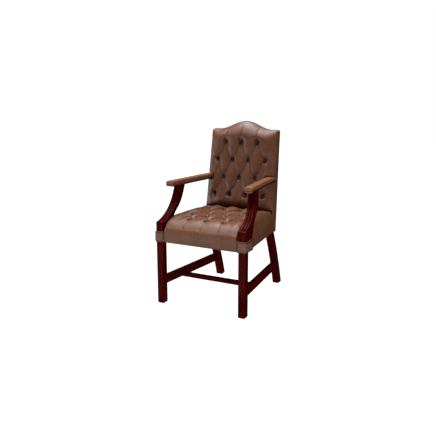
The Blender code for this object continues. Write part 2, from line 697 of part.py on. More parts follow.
def support_sections(side):
    """Stations from the foot, by the toe's sharp shoulder, up to the arm."""
    foot, toe, *rear = support_rear()
    flat = Vector((0.0, 0.0))
    sections = [
        support_section(side, Vector((0.0, foot.y)), foot, flat),
        support_section(side, Vector(TOE_CURVE[0]), toe, flat),
    ]
    for i, heel in enumerate(rear, 1):
        t = i / SUPPORT_STEPS
        front = bezier(TOE_CURVE, t)
        along = front - bezier(TOE_CURVE, t - 0.5 / SUPPORT_STEPS)
        level = i == SUPPORT_STEPS
        sunk = Vector((1.0, 0.0)) if level else Vector((along.y, -along.x)).normalized()
        sections.append(support_section(side, front, heel, sunk))
    return sections


support_notches = []
for label, side in SIDES.items():
    support = piece("arm_support_" + label, loft(support_sections(side)), MAHOGANY)

    foot_x = side * (FRONT_WIDTH / 2 - FOOT_TENON)
    foot_y = FOOT_TENON

    def foot_tenon(grow):
        half = FOOT_TENON / 2 + grow
        low = (foot_x - half, foot_y - half, RAIL_TOP - FOOT_TENON_LENGTH - grow)
        return box(low, (foot_x + half, foot_y + half, RAIL_TOP + FOOT_TENON))

    join(support, piece("foot_tenon_" + label, foot_tenon(0.0)))
    cut(front_legs[label], piece("foot_mortise_" + label, foot_tenon(CLEARANCE)))

    head_x = side * (support_outer(ARM_BOTTOM) - SUPPORT_WIDTH / 2)
    head_y = (SUPPORT_TOP_FRONT + SUPPORT_TOP_REAR) / 2

    def head_tenon(grow):
        half = TOP_TENON / 2 + grow
        low = (head_x - half, head_y - half, ARM_BOTTOM - TOP_TENON)
        return box(low, (head_x + half, head_y + half, ARM_BOTTOM + TOP_TENON_LENGTH + grow))

    join(support, piece("head_tenon_" + label, head_tenon(0.0)))
    cut(arm_rails[label], piece("head_mortise_" + label, head_tenon(CLEARANCE)))

    screw_y = (FRONT_LEG + SUPPORT_FOOT_DEPTH) / 2
    rail_x = leg_line(side, (RAIL_BOTTOM + RAIL_TOP) / 2)(screw_y).x
    screw("support_screw_" + label, Vector((rail_x, screw_y, RAIL_BOTTOM)), (0, 0, 1),
          RAIL_TOP - RAIL_BOTTOM + SUPPORT_SCREW_BITE, (side_rails[label], support))

    reach = FRONT_PROUD + SEAT_FRONT_PROUD
    inner = side * (support_outer(SEAT_CROWN_Z) - SUPPORT_WIDTH - CLEARANCE)
    outline = [(inner, p.x + 2 * CLEARANCE, p.y) for p in support_rear()]
    outline += [(inner, -reach, ARM_BOTTOM), (inner, -reach, RAIL_TOP)]
    support_notches.append(piece("notch_support_" + label, prism(outline, (side * FRONT_WIDTH, 0, 0))))


# Corner patches of leather and the studs round their edges


def corner_strip(side, inner, outer, front_end, side_end):
    """An L in plan round a front leg's outer corner, between two distances proud of the leg."""
    near, far = FRONT_WIDTH / 2 + inner, FRONT_WIDTH / 2 + outer
    points = [(far - front_end, -outer), (far, -outer), (far, side_end),
              (near, side_end), (near, -inner), (far - front_end, -inner)]
    return [(side * x, y) for x, y in points]


patch_notches = []
for label, side in SIDES.items():
    skin = CLEARANCE + PATCH_THICKNESS
    rise = (0, 0, RAIL_TOP - PATCH_BOTTOM)
    plan = corner_strip(side, CLEARANCE, skin, PATCH_FRONT_WIDTH, PATCH_SIDE_DEPTH)
    piece("corner_patch_" + label, prism([(x, y, PATCH_BOTTOM) for x, y in plan], rise), HIDE)

    proud = skin + CLEARANCE + STUD_PROUD
    front_end = PATCH_FRONT_WIDTH + CLEARANCE + STUD_PROUD
    plan = corner_strip(side, skin + CLEARANCE, proud, front_end, PATCH_SIDE_DEPTH)
    studs = prism([(x, y, PATCH_BOTTOM) for x, y in plan], rise)
    studs = piece("patch_studs_" + label, studs, ANTIQUE_BRASS)
    front_end = PATCH_FRONT_WIDTH + proud - STUD_BAND
    window = corner_strip(side, 0.0, 2 * proud, front_end, PATCH_SIDE_DEPTH - STUD_BAND)
    low = PATCH_BOTTOM + STUD_BAND
    cut(studs, piece("window_studs_" + label, prism(
        [(x, y, low) for x, y in window], (0, 0, RAIL_TOP - STUD_BAND - low))))

    edge = side * (FRONT_WIDTH / 2 + skin - PATCH_FRONT_WIDTH - 2 * CLEARANCE)
    far = side * FRONT_WIDTH
    corner = (min(edge, far), -2 * proud, SEAT_BOTTOM - STUD_BAND)
    opposite = (max(edge, far), PATCH_SIDE_DEPTH + CLEARANCE, RAIL_TOP + CLEARANCE)
    patch_notches.append(piece("notch_patch_" + label, box(corner, opposite)))


# Buttoned padding


def button_rows(first, step, pitch):
    """Rows of buttons, three and four in turn, as (v, [u]) pairs."""
    rows = []
    for k in range(BUTTON_ROWS):
        count = 3 + k % 2
        rows.append((first + k * step, [(i - (count - 1) / 2) * pitch for i in range(count)]))
    return rows


def pleats(rows, pitch, first_edge, last_edge, side_edge):
    """The folds between neighbouring buttons and from the outer buttons to the edges."""
    lines = []
    for (v, us), (next_v, next_us) in zip(rows, rows[1:]):
        for u in us:
            near = [w for w in next_us if abs(w - u) < pitch * FOLD_REACH]
            lines += [((u, v), (w, next_v), False) for w in near]
    lines += [((u, rows[0][0]), (u, first_edge), True) for u in rows[0][1]]
    lines += [((u, rows[-1][0]), (u, last_edge), True) for u in rows[-1][1]]
    for v, us in rows[1::2]:
        lines += [((u, v), (math.copysign(side_edge, u), v), True) for u in (us[0], us[-1])]
    return lines


def tuft_depth(u, v, rows, lines, deep):
    """How far the leather is drawn in at a point: deep at a button, less along a fold."""
    total = 0.0
    for row_v, us in rows:
        for button_u in us:
            reach = math.hypot(u - button_u, v - row_v) / DIMPLE_WIDTH
            total += (deep * math.exp(-reach)) ** FOLD_POWER
    for start, end, to_edge in lines:
        a, b = Vector(start), Vector(end)
        along = b - a
        share = max(0.0, min(1.0, (Vector((u, v)) - a).dot(along) / along.length_squared))
        reach = (Vector((u, v)) - a - along * share).length / PLEAT_WIDTH
        hold = FOLD_HOLD + FOLD_RISE * abs(2 * share - 1)
        if to_edge:
            hold = PLEAT_HOLD - PLEAT_FALL * share
        total += (deep * hold * math.exp(-reach)) ** FOLD_POWER
    return total ** (1 / FOLD_POWER)


def side_share(room, pitch):
    """How much of a fold's depth is left at a distance from the cushion's side."""
    return min(1.0, max(SIDE_HOLD, 2 * room / pitch))


def spread(inner, outer, count):
    """Even steps past inner up to outer."""
    return [inner + (outer - inner) * (i + 1) / count for i in range(count)]


def columns(outer, pitch, edge):
    """Mesh columns from edge to edge: a whole number between two buttons, then on to the edges."""
    right = spread(0.0, outer, GRID_STEPS * round(2 * outer / pitch))
    right += spread(outer, edge, EDGE_STEPS)
    return [-u for u in reversed(right)] + [0.0] + right


def padded_block(grid, rings, place):
    """Closes a grid of (u, v, h) points: rings run down from its rim to a flat base."""
    bm = bmesh.new()
    tall, wide = len(grid), len(grid[0])
    top = [[bm.verts.new(place(*point)) for point in row] for row in grid]
    for j in range(tall - 1):
        for i in range(wide - 1):
            corner = [(j, i), (j, i + 1), (j + 1, i + 1), (j + 1, i)]
            heights = [grid[a][b][2] for a, b in corner]
            quad = [top[a][b] for a, b in corner]
            turn = 0 if heights[0] + heights[2] <= heights[1] + heights[3] else 1
            bm.faces.new((quad[turn], quad[turn + 1], quad[(turn + 2) % 4]))
            bm.faces.new((quad[turn], quad[(turn + 2) % 4], quad[(turn + 3) % 4]))
    rim = [(0, i) for i in range(wide)]
    rim += [(j, wide - 1) for j in range(1, tall)]
    rim += [(tall - 1, i) for i in range(wide - 2, -1, -1)]
    rim += [(j, 0) for j in range(tall - 2, 0, -1)]
    loop = [top[j][i] for j, i in rim]
    count = len(rim)
    for ring in rings:
        new = []
        for j, i in rim:
            edge_u = (i == wide - 1) - (i == 0)
            edge_v = (j == tall - 1) - (j == 0)
            new.append(bm.verts.new(place(*ring(Vector(grid[j][i]), edge_u, edge_v))))
        for k in range(count):
            bm.faces.new((loop[k], loop[(k + 1) % count], new[(k + 1) % count], new[k]))
        loop = new
    bm.faces.new(loop)
    return bm


def ring_at(outset, share, base, fold, outline, tufts):
    """A ring a share of the way from the rim out to the outline, and another down to the base."""
    def ring(point, edge_u, edge_v):
        rim = point.to_2d()
        reach = Vector(outline(rim.x, rim.y, edge_u, edge_v)) - rim
        drawn = fold * tuft_depth(rim.x, rim.y, *tufts) / reach.length
        spot = rim + reach * (outset - drawn)
        return (spot.x, spot.y, point.z + (base - point.z) * share)
    return ring


def button_profile(length):
    """A domed button on its twine, from its top down to the twine's end."""
    dome = [(BUTTON_RADIUS * share, BUTTON_HEIGHT * rise) for share, rise in BUTTON_DOME]
    return dome + [(TWINE_RADIUS, 0.0), (TWINE_RADIUS, -length)]


def well_profile(length):
    """The room that a button and its twine take in the padding."""
    wide, narrow = BUTTON_RADIUS + CLEARANCE, TWINE_RADIUS + CLEARANCE
    return [(wide, WELL_HEIGHT), (wide, -CLEARANCE), (narrow, -CLEARANCE), (narrow, -length)]


def set_buttons(name, cushion, rows, height, below, place, bend):
    """Buttons row by row, each row on one run of twine behind the webbing, and their wells."""
    wells = bmesh.new()
    for k, (v, us) in enumerate(rows):
        knots = bmesh.new()
        for u in us:
            base = height(u, v) + BUTTON_LIFT
            foot = Vector(place(u, v, base))
            axis = Vector(place(u, v, base + 1)) - foot
            length = base - below + TWINE_RADIUS
            turned(button_profile(length), BUTTON_SIDES, foot, axis, knots)
            turned(well_profile(length + BUTTON_HEIGHT), BUTTON_SIDES, foot, axis, wells)
        ends = [Vector(place(u, v, below)) for u in (us[0], us[-1])]
        thick = Vector((2 * TWINE_RADIUS,) * 3)
        run = box(ends[0] - thick, ends[1] + thick)
        row = piece("%s_buttons_%d" % (name, k + 1), bend(run), HIDE)
        join(row, piece("knots_%s_%d" % (name, k + 1), bend(knots)))
    cut(cushion, piece("wells_" + name, bend(wells)))


def upright_place(bm):
    """Leaves a piece as it was drawn."""
    return bm


# Seat: webbing, cushion, buttons and dust cover

seat_rows = button_rows(SEAT_FIRST_ROW, SEAT_ROW_PITCH, SEAT_BUTTON_PITCH)
seat_lines = pleats(seat_rows, SEAT_BUTTON_PITCH, SEAT_FRONT_EDGE, SEAT_REAR_Y, SEAT_FRONT_HALF)


def seat_half(v):
    """Half of the seat's width at a distance from the front."""
    share = (v - SEAT_FRONT_EDGE) / (SEAT_REAR_Y - SEAT_FRONT_EDGE)
    return SEAT_FRONT_HALF + (SEAT_REAR_HALF - SEAT_FRONT_HALF) * share


def seat_outline(u, v, edge_u, edge_v):
    """Where the seat's outermost side is, out from a point of the rim."""
    v = {-1: SEAT_FRONT_EDGE, 0: v, 1: SEAT_REAR_Y}[edge_v]
    return (edge_u * seat_half(v) if edge_u else u, v)


def seat_height(u, v):
    """The crowned and buttoned top of the seat."""
    across = 1 - abs(u / (seat_half(v) - PAD_EDGE)) ** 4
    front = min(1.0, (v - SEAT_FRONT_EDGE - PAD_EDGE) / (SEAT_FIRST_ROW - SEAT_FRONT_EDGE))
    rear = min(1.0, max(0.0, (BACK_FACE_Y - v) / (SEAT_ROW_PITCH / 2)))
    fall = 1 - (1 - front) ** 2
    crown = SEAT_EDGE_Z + (SEAT_CROWN_Z - SEAT_EDGE_Z) * across * fall
    crown = min(crown, SEAT_REAR_Z + (SEAT_CROWN_Z - SEAT_REAR_Z) * (1 - (1 - rear) ** 2))
    shallow = side_share(seat_half(v) - abs(u), SEAT_BUTTON_PITCH)
    return crown - shallow * tuft_depth(u, v, seat_rows, seat_lines, SEAT_BUTTON_DEPTH)


seat_vs = [SEAT_FRONT_EDGE + PAD_EDGE]
seat_vs += spread(seat_vs[0], SEAT_FIRST_ROW, EDGE_STEPS)
seat_vs += spread(SEAT_FIRST_ROW, seat_rows[-1][0], GRID_STEPS * (BUTTON_ROWS - 1))
seat_vs += spread(seat_rows[-1][0], SEAT_REAR_Y - PAD_EDGE, EDGE_STEPS)
outer_u = seat_rows[1][1][-1]
seat_grid = []
for v in seat_vs:
    us = columns(outer_u, SEAT_BUTTON_PITCH, seat_half(v) - PAD_EDGE)
    seat_grid.append([(u, v, seat_height(u, v)) for u in us])
seat_tufts = (seat_rows, seat_lines, SEAT_BUTTON_DEPTH)
seat_rings = [ring_at(outset, share, SEAT_BOTTOM, fold, seat_outline, seat_tufts)
              for outset, share, fold in SEAT_RINGS]


def seat_place(u, v, h):
    return (u, v, h)


seat = piece("seat_cushion", padded_block(seat_grid, seat_rings, seat_place), HIDE)
pocket_front = SEAT_FRONT_EDGE + SEAT_WALL
pocket_rear = SEAT_REAR_Y + SEAT_WALL


def seat_plan(front, rear, inset):
    corners = ((LEFT, front), (RIGHT, front), (RIGHT, rear), (LEFT, rear))
    return [(side * (seat_half(v) - inset), v) for side, v in corners]


pocket_top = RAIL_TOP + WEB_STEP
pocket = piece("pocket_seat", prism(
    [(x, y, SEAT_BOTTOM - SEAT_WALL) for x, y in seat_plan(pocket_front, pocket_rear, SEAT_WALL)],
    (0, 0, pocket_top - SEAT_BOTTOM + SEAT_WALL)))
cut(seat, pocket, *patch_notches, *support_notches)
set_buttons("seat", seat, seat_rows, seat_height, RAIL_TOP - 4 * TWINE_RADIUS,
            seat_place, upright_place)


def webbing(name, rows, reach, low_v, high_v, place, bend):
    """Crossed straps as one net. The buttons' twine passes between the straps."""
    marks = sorted({u for _, us in rows for u in us})
    levels = sorted(v for v, _ in rows)
    half = WEB_WIDTH / 2
    warps = [((a + b) / 2 - half, (a + b) / 2 + half) for a, b in zip(marks, marks[1:])]
    wefts = [((a + b) / 2 - half, (a + b) / 2 + half) for a, b in zip(levels, levels[1:])]
    ends = {weft: reach(weft[1]) for weft in wefts}
    tips = {side * end for side in (LEFT, RIGHT) for end in ends.values()}
    u_lines = sorted({u for warp in warps for u in warp} | tips)
    v_lines = sorted({v for weft in wefts for v in weft} | {low_v, high_v})

    def covered(u, v):
        on_warp = any(low < u < high for low, high in warps)
        return on_warp or any(low < v < high and abs(u) < ends[low, high] for low, high in wefts)

    bm = bmesh.new()
    knots = {(u, v): bm.verts.new(place(u, v, 0.0)) for u in u_lines for v in v_lines}
    for a, b in zip(u_lines, u_lines[1:]):
        for c, d in zip(v_lines, v_lines[1:]):
            if covered((a + b) / 2, (c + d) / 2):
                bm.faces.new([knots[spot] for spot in ((a, c), (b, c), (b, d), (a, d))])
    bmesh.ops.delete(bm, geom=[v for v in bm.verts if not v.link_faces], context="VERTS")
    grown = bmesh.ops.extrude_face_region(bm, geom=list(bm.faces))
    moved = [item for item in grown["geom"] if isinstance(item, bmesh.types.BMVert)]
    lift = Vector(place(0.0, 0.0, WEB_THICKNESS)) - Vector(place(0.0, 0.0, 0.0))
    bmesh.ops.translate(bm, verts=moved, vec=lift)
    return piece(name, bend(bm), JUTE)


def rail_reach(v):
    """How far a cross strap goes to lie on both side rails."""
    middle = (RAIL_BOTTOM + RAIL_TOP) / 2
    return leg_line(RIGHT, middle)(v).x - RAIL_THICKNESS / 2 + WEB_LAP


def seat_web_place(u, v, h):
    return (u, v, RAIL_TOP + h)


webbing("seat_webbing", seat_rows, rail_reach, FRONT_RAIL_SETBACK + RAIL_THICKNESS - WEB_LAP,
        back_rail_ends[0].y - SEAT_BACK_RAIL / 2 + WEB_LAP, seat_web_place, upright_place)

plan = seat_plan(pocket_front + CLEARANCE, back_rail_ends[0].y, SEAT_WALL + CLEARANCE)
dust = piece("seat_dust_cover", prism(
    [(x, y, RAIL_BOTTOM - CLEARANCE - DUST_COVER) for x, y in plan], (0, 0, DUST_COVER)), CAMBRIC)
cut(dust, *front_guides.values(), *rear_guides.values(), *patch_notches)


# Back: webbing, cushion, buttons, outside panel and studs

back_rows = button_rows(BACK_TOP_ROW, -BACK_ROW_PITCH, BACK_BUTTON_PITCH)
back_lines = pleats(back_rows, BACK_BUTTON_PITCH, SHOULDER_Z, BACK_PAD_BOTTOM, BACK_HALF)


def back_side(v):
    """How far the back's side stands in front of the uprights."""
    share = min(1.0, max(0.0, (v - BACK_PAD_BOTTOM) / (SHOULDER_Z - BACK_PAD_BOTTOM)))
    return BACK_SIDE_LOW + (BACK_SIDE_HIGH - BACK_SIDE_LOW) * share


def back_height(u, v):
    """The crowned and buttoned front of the back, measured forward from the uprights."""
    across = 1 - abs(u / (BACK_HALF - PAD_EDGE)) ** 4
    above = (outline_top(u, PAD_EDGE) - v) / (outline_top(u, PAD_EDGE) - BACK_TOP_ROW)
    below = (v - BACK_PAD_BOTTOM) / (BACK_ROW_PITCH / 2)
    rise = 1 - (1 - min(1.0, max(0.0, above))) ** 2
    rise *= 1 - (1 - min(1.0, max(0.0, below))) ** 4
    shallow = side_share(BACK_HALF - abs(u), BACK_BUTTON_PITCH)
    drawn = shallow * tuft_depth(u, v, back_rows, back_lines, BACK_BUTTON_DEPTH)
    return back_side(v) + BACK_CROWN * across * rise - drawn * rise


def back_edge(u, v, edge_u, edge_v):
    """Where the back's outermost side is, out from a point of the rim."""
    u = edge_u * BACK_HALF if edge_u else u
    return (u, {-1: BACK_SKIRT_BOTTOM, 0: v, 1: outline_top(u, 0.0)}[edge_v])


def back_place(u, v, h):
    return (u, UPRIGHT_FRONT - h, v)


back_us = columns(back_rows[1][1][-1], BACK_BUTTON_PITCH, BACK_HALF - PAD_EDGE)
lower_vs = [BACK_SKIRT_BOTTOM + PAD_EDGE, BACK_PAD_BOTTOM - PAD_EDGE]
lower_vs += spread(BACK_PAD_BOTTOM - PAD_EDGE, back_rows[-1][0], EDGE_STEPS)
lower_vs += spread(back_rows[-1][0], BACK_TOP_ROW, GRID_STEPS * (BUTTON_ROWS - 1))
back_grid = [[(u, v, back_height(u, v)) for u in back_us] for v in lower_vs]
upper_vs = [spread(BACK_TOP_ROW, outline_top(u, PAD_EDGE), EDGE_STEPS) for u in back_us]
for level in zip(*upper_vs):
    back_grid.append([(u, v, back_height(u, v)) for u, v in zip(back_us, level)])
back_base = UPRIGHT_FRONT - PANEL_REAR
back_tufts = (back_rows, back_lines, BACK_BUTTON_DEPTH)
back_rings = [ring_at(outset, share, back_base, fold, back_edge, back_tufts)
              for outset, share, fold in BACK_RINGS]
back = piece("back_cushion", lean(padded_block(back_grid, back_rings, back_place)), HIDE)


def back_outline(inset, bottom):
    """The back's outline from the left foot of the cover, over the top, to the right foot."""
    half = BACK_HALF - inset
    return [(-half, bottom)] + top_curve(half, inset) + [(half, bottom)]


open_below = BACK_SKIRT_BOTTOM - SEAT_WALL
hollow = back_slab(back_outline(LEATHER, open_below), UPRIGHT_FRONT - WEB_STEP, UPRIGHT_DEPTH * 2)
legroom_half = BACK_HALF - LEATHER + CLEARANCE
legroom = lean(box((-legroom_half, 0.0, open_below),
                   (legroom_half, PANEL_REAR * 2, BACK_PAD_BOTTOM)))
seat_room = box((-FRONT_WIDTH, 0.0, open_below),
                (FRONT_WIDTH, SEAT_REAR_Y + CLEARANCE, BACK_PAD_BOTTOM + CLEARANCE))
cut(back, piece("hollow_back", hollow), piece("legroom_back", legroom),
    piece("seat_room_back", seat_room), *arm_notches)
set_buttons("back", back, back_rows, back_height, -4 * TWINE_RADIUS, back_place, lean)


def upright_reach(v):
    """How far a cross strap goes to lie on both uprights."""
    return REAR_WIDTH / 2 - REAR_LEG_WIDTH + WEB_LAP


def back_web_place(u, v, h):
    return (u, UPRIGHT_FRONT - CLEARANCE - h, v)


webbing("back_webbing", back_rows, upright_reach,
        LOWER_RAIL_TOP - WEB_LAP, CREST_RAIL_BOTTOM + WEB_LAP, back_web_place, lean)

panel = back_outline(LEATHER + CLEARANCE, BACK_SKIRT_BOTTOM)
piece("outside_back_panel", back_slab(panel, UPRIGHT_REAR + CLEARANCE, PANEL_THICKNESS), HIDE)

studs = back_outline(-2 * CLEARANCE - STUD_PROUD, BACK_SKIRT_BOTTOM)
studs += back_outline(-2 * CLEARANCE, BACK_SKIRT_BOTTOM)[::-1]
studs_front = PANEL_REAR - BACK_STUD_INSET - STUD_BAND
piece("back_studs", back_slab(studs, studs_front, STUD_BAND), ANTIQUE_BRASS)
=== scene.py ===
# %% [markdown]
# # A deep-buttoned library armchair
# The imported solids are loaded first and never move. They say where everything is, so each visible
# piece below is modelled over its own solid and then takes its place in the picture. What stays
# hidden inside the chair (rails, blocks, webbing, screws) keeps the solid and only gets a finish.

# %% Load the frame
import math

import bmesh
import bpy
import numpy as np
from mathutils import Matrix, Vector


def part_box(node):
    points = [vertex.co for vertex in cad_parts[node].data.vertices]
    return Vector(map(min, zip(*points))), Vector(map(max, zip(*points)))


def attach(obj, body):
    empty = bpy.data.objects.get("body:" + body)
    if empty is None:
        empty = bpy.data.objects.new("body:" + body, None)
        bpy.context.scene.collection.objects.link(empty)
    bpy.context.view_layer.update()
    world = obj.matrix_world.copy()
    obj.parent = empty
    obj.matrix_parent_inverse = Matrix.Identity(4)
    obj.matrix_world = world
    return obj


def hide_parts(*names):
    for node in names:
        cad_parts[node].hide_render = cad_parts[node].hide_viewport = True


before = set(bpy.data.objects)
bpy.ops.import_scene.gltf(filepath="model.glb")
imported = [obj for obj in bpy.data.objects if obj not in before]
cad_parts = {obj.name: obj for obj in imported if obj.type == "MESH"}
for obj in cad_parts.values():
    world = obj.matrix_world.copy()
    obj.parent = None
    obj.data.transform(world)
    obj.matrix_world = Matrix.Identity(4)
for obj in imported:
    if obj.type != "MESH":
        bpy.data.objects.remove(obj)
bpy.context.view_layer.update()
scene = bpy.context.scene
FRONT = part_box("front_leg_left")[0].y
print("solids:", len(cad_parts), " front legs' face at y =", round(FRONT, 4))

# %% [markdown]
# ## Camera, floor and light
# The photograph was taken from a little above the chair's top, off its left front corner as the
# sitter has it. A camera could be turned by eye, but here its place was solved from known corners of
# the chair, so only three values are needed. The floor and the room are white to the camera, but the
# leather mirrors a floor that is bright in parts only. A broad sun above, a lamp behind and a card at
# the left give it pale rolls, and a low lamp at the right opens the shade there.

# %% Camera
EYE, AIM, LENS = Vector((1.466, -2.949, 1.200)), Vector((-0.005, -0.105, 0.495)), 45.97


def fresh():
    """Leaves edit mode and deselects everything, so that an operator sees only what comes next."""
    if bpy.context.object and bpy.context.object.mode != "OBJECT":
        bpy.ops.object.mode_set(mode="OBJECT")
    bpy.ops.object.select_all(action="DESELECT")


def aimed(start, end):
    """The turn of a camera or a lamp that looks from start to end."""
    return (Vector(end) - Vector(start)).to_track_quat("-Z", "Y").to_euler()


fresh()
bpy.ops.object.camera_add(location=EYE, rotation=aimed(EYE, AIM))
scene.camera = bpy.context.object
scene.camera.data.lens = LENS
print("camera", round((AIM - EYE).length, 3), "m from the chair's middle")


# %% Materials are made of wired nodes
def new_finish(name):
    """An empty material, its node tree and its shader."""
    made = bpy.data.materials.new(name)
    made.use_nodes = True
    return made, made.node_tree, made.node_tree.nodes["Principled BSDF"]


def feed(tree, node, inputs):
    """Sets a node's inputs. Each is a number, a colour or the socket that feeds it."""
    for key, value in inputs.items():
        if isinstance(value, bpy.types.NodeSocket):
            tree.links.new(value, node.inputs[key])
        else:
            node.inputs[key].default_value = value


def wire(tree, kind, inputs=None, **settings):
    """Adds a node with its settings and inputs."""
    made = tree.nodes.new("ShaderNode" + kind)
    for key, value in settings.items():
        setattr(made, key, value)
    feed(tree, made, inputs or {})
    return made


def blend(tree, share, first, second):
    """Mixes two colours by a share."""
    return wire(tree, "Mix", {0: share, 6: first, 7: second}, data_type="RGBA").outputs[2]


def between(tree, value, low, high, to_low=0.0, to_high=1.0):
    """Stretches a value from one range to another and holds it there."""
    return wire(tree, "MapRange", {0: value, 1: low, 2: high, 3: to_low, 4: to_high}).outputs[0]


def combined(tree, operation, first, second):
    """Two values put together by arithmetic."""
    return wire(tree, "Math", {0: first, 1: second}, operation=operation).outputs[0]


def noise(tree, spot, scale, detail, **more):
    """Soft noise between 0 and 1."""
    return wire(tree, "TexNoise", {"Vector": spot, "Scale": scale, "Detail": detail, **more}).outputs[0]


def bump(tree, strength, distance, height, **more):
    """Small relief, as a change of the surface's direction."""
    inputs = {"Strength": strength, "Distance": distance, "Height": height, **more}
    return wire(tree, "Bump", inputs).outputs[0]


# %% Floor and light
def lamp(name, place, aim, size, watts):
    """A square soft lamp."""
    fresh()
    bpy.ops.object.light_add(type="AREA", location=place, rotation=aimed(place, aim))
    made = bpy.context.object
    made.name, made.data.size, made.data.energy = name, size, watts
    return made


def bright_patch(tree, place, along_x, along_y):
    """Floor light that fades along X and along Y, each given as two places and the levels there."""
    return combined(tree, "MULTIPLY", between(tree, place["X"], *along_x),
                    between(tree, place["Y"], *along_y))


fresh()
bpy.ops.mesh.primitive_plane_add(size=24, location=(0, 0, -0.0006))
floor = bpy.context.object
floor.name = "studio_floor"
pale, tree, shader = new_finish("studio_white")
mirrored = wire(tree, "LightPath").outputs["Is Glossy Ray"]
place = wire(tree, "SeparateXYZ", {0: wire(tree, "TexCoord").outputs["Object"]}).outputs
near = bright_patch(tree, place, (-0.2, 0.15, 0.0, 2.2), (-0.75, -0.45, 1.0, 0.0))
left = bright_patch(tree, place, (-0.75, -0.15, 2.0, 0.0), (-1.3, -0.9, 0.32, 1.0))
front = bright_patch(tree, place, (-1.1, -0.2, 0.55, 1.05), (-1.9, -0.45, 1.8, 0.0))
sheet = combined(tree, "MAXIMUM", combined(tree, "MAXIMUM", left, front), near)
glow = wire(tree, "Mix", {0: mirrored, 2: 1.2, 3: sheet}).outputs[0]
feed(tree, shader, {"Base Color": (0.004, 0.004, 0.004, 1), "Roughness": 0.95, "Specular IOR Level": 0.0,
                    "Emission Color": (1, 1, 1, 1), "Emission Strength": glow})
pale.cycles.emission_sampling = "NONE"
floor.data.materials.append(pale)

room = bpy.data.worlds.new("studio")
room.use_nodes = True
tree = room.node_tree
paths = wire(tree, "LightPath").outputs
level = wire(tree, "Mix", {0: paths["Is Glossy Ray"], 2: 0.38, 3: 0.03}).outputs[0]
level = wire(tree, "Mix", {0: paths["Is Camera Ray"], 2: level, 3: 1.0}).outputs[0]
feed(tree, tree.nodes["Background"], {"Color": (1, 1, 1, 1), "Strength": level})
room.cycles.sampling_method = "NONE"
scene.world = room
fresh()
bpy.ops.object.light_add(type="SUN", rotation=aimed((0, 0, 0), (0.16, 0.12, -0.98)))
sun = bpy.context.object
sun.name, sun.data.energy, sun.data.angle = "broad_top", 5.0, math.radians(70)
lamp("rear_top", (-0.35, 0.55, 2.35), (0.05, -0.15, 0.5), 0.6, 17)
card = lamp("left_card", (-2.2, -0.65, 0.30), (0, 0, 0.6), 1.5, 17)
card.visible_diffuse = False
low_fill = lamp("right_fill", (1.15, 0.0, 0.12), (0.25, 0.0, 0.45), 0.6, 2.4)
low_fill.visible_glossy = low_fill.visible_camera = False
scene.view_settings.view_transform = "Standard"

# %% [markdown]
# ## Finishes
# Brown hide is the main finish. On a real chair it is dyed, waxed and rubbed, with a fine pebble grain
# and a few long creases. The colour comes from soft noise, and from a value that the cushions carry in
# their points, which paints shade deep in the pits and along the pleats' lines. The grain is bump only.


# %% Brown hide
def hide(name, pale, brown, speckle_and_shade, grain, polish=0.34):
    """Leather: clouded and speckled, with painted shade in the folds, and pebble grain over slack creases.
    """
    made, tree, shader = new_finish(name)
    here = wire(tree, "TexCoord").outputs["Object"]
    cloudy = noise(tree, here, 11, 4, Roughness=0.6)
    speckle = noise(tree, here, 170, 2)
    # The cushions' points carry painted shade for the pits and pleat lines; the dark colour serves both the
    # speckles and that painted shade.
    painted_shade = wire(tree, "Attribute", attribute_name="painted_shade").outputs["Fac"]
    worn = blend(tree, between(tree, cloudy, 0.36, 0.66), brown, pale)
    worn = blend(tree, between(tree, speckle, 0.5, 0.8, 0.0, 0.35), worn, speckle_and_shade)
    pebble = wire(tree, "TexVoronoi", {"Vector": here, "Scale": 430}, feature="DISTANCE_TO_EDGE").outputs[0]
    slack = bump(tree, 0.35, 0.0016, noise(tree, here, 34, 5, Distortion=1.6))
    skin = bump(tree, grain, 0.0004, between(tree, pebble, 0.0, 0.35), Normal=slack)
    feed(tree, shader, {"Base Color": blend(tree, painted_shade, worn, speckle_and_shade), "Normal": skin,
                        "Roughness": between(tree, cloudy, 0.3, 0.7, 0.36, 0.48),
                        "Specular IOR Level": polish})
    return made


HIDE = hide("brown_hide", (0.114, 0.039, 0.0152, 1), (0.087, 0.028, 0.0106, 1),
            (0.014, 0.005, 0.003, 1), 0.45)
# The seat gets a paler copy of the same hide, painted light for the seat, with more polish.
LIT_SEAT_HIDE = hide("polished_lit_seat_hide", (0.132, 0.046, 0.0180, 1), (0.102, 0.034, 0.0127, 1),
                 (0.014, 0.005, 0.003, 1), 0.45, 0.41)
# The arms get a paler copy of the same hide: painted light, for the arms' brightly lit tops.
LIT_ARM_HIDE = hide("lit_arm_hide", (0.178, 0.063, 0.026, 1), (0.148, 0.050, 0.020, 1),
                (0.040, 0.014, 0.008, 1), 0.40)
PATCH_HIDE = hide("patch_hide", (0.140, 0.058, 0.030, 1), (0.120, 0.049, 0.025, 1),
                  (0.030, 0.012, 0.008, 1), 0.40)
# The buttons get a much darker copy of the same hide: painted shade for buttons sunk in their pits.
SHADED_BUTTON_HIDE = hide("shaded_button_hide", (0.022, 0.009, 0.005, 1), (0.014, 0.006, 0.004, 1),
                   (0.006, 0.003, 0.002, 1), 0.30)
print("hides:", HIDE.name, LIT_SEAT_HIDE.name, LIT_ARM_HIDE.name, PATCH_HIDE.name, SHADED_BUTTON_HIDE.name)

# %% [markdown]
# Mahogany here is stained nearly black-red and polished. Its grain runs along each stick, so one
# finish is made for each direction: noise stretched along the stick gives the figure, finer noise the
# pores, and a thin coat the polish. A picture of wood would need unwrapping; this needs none.


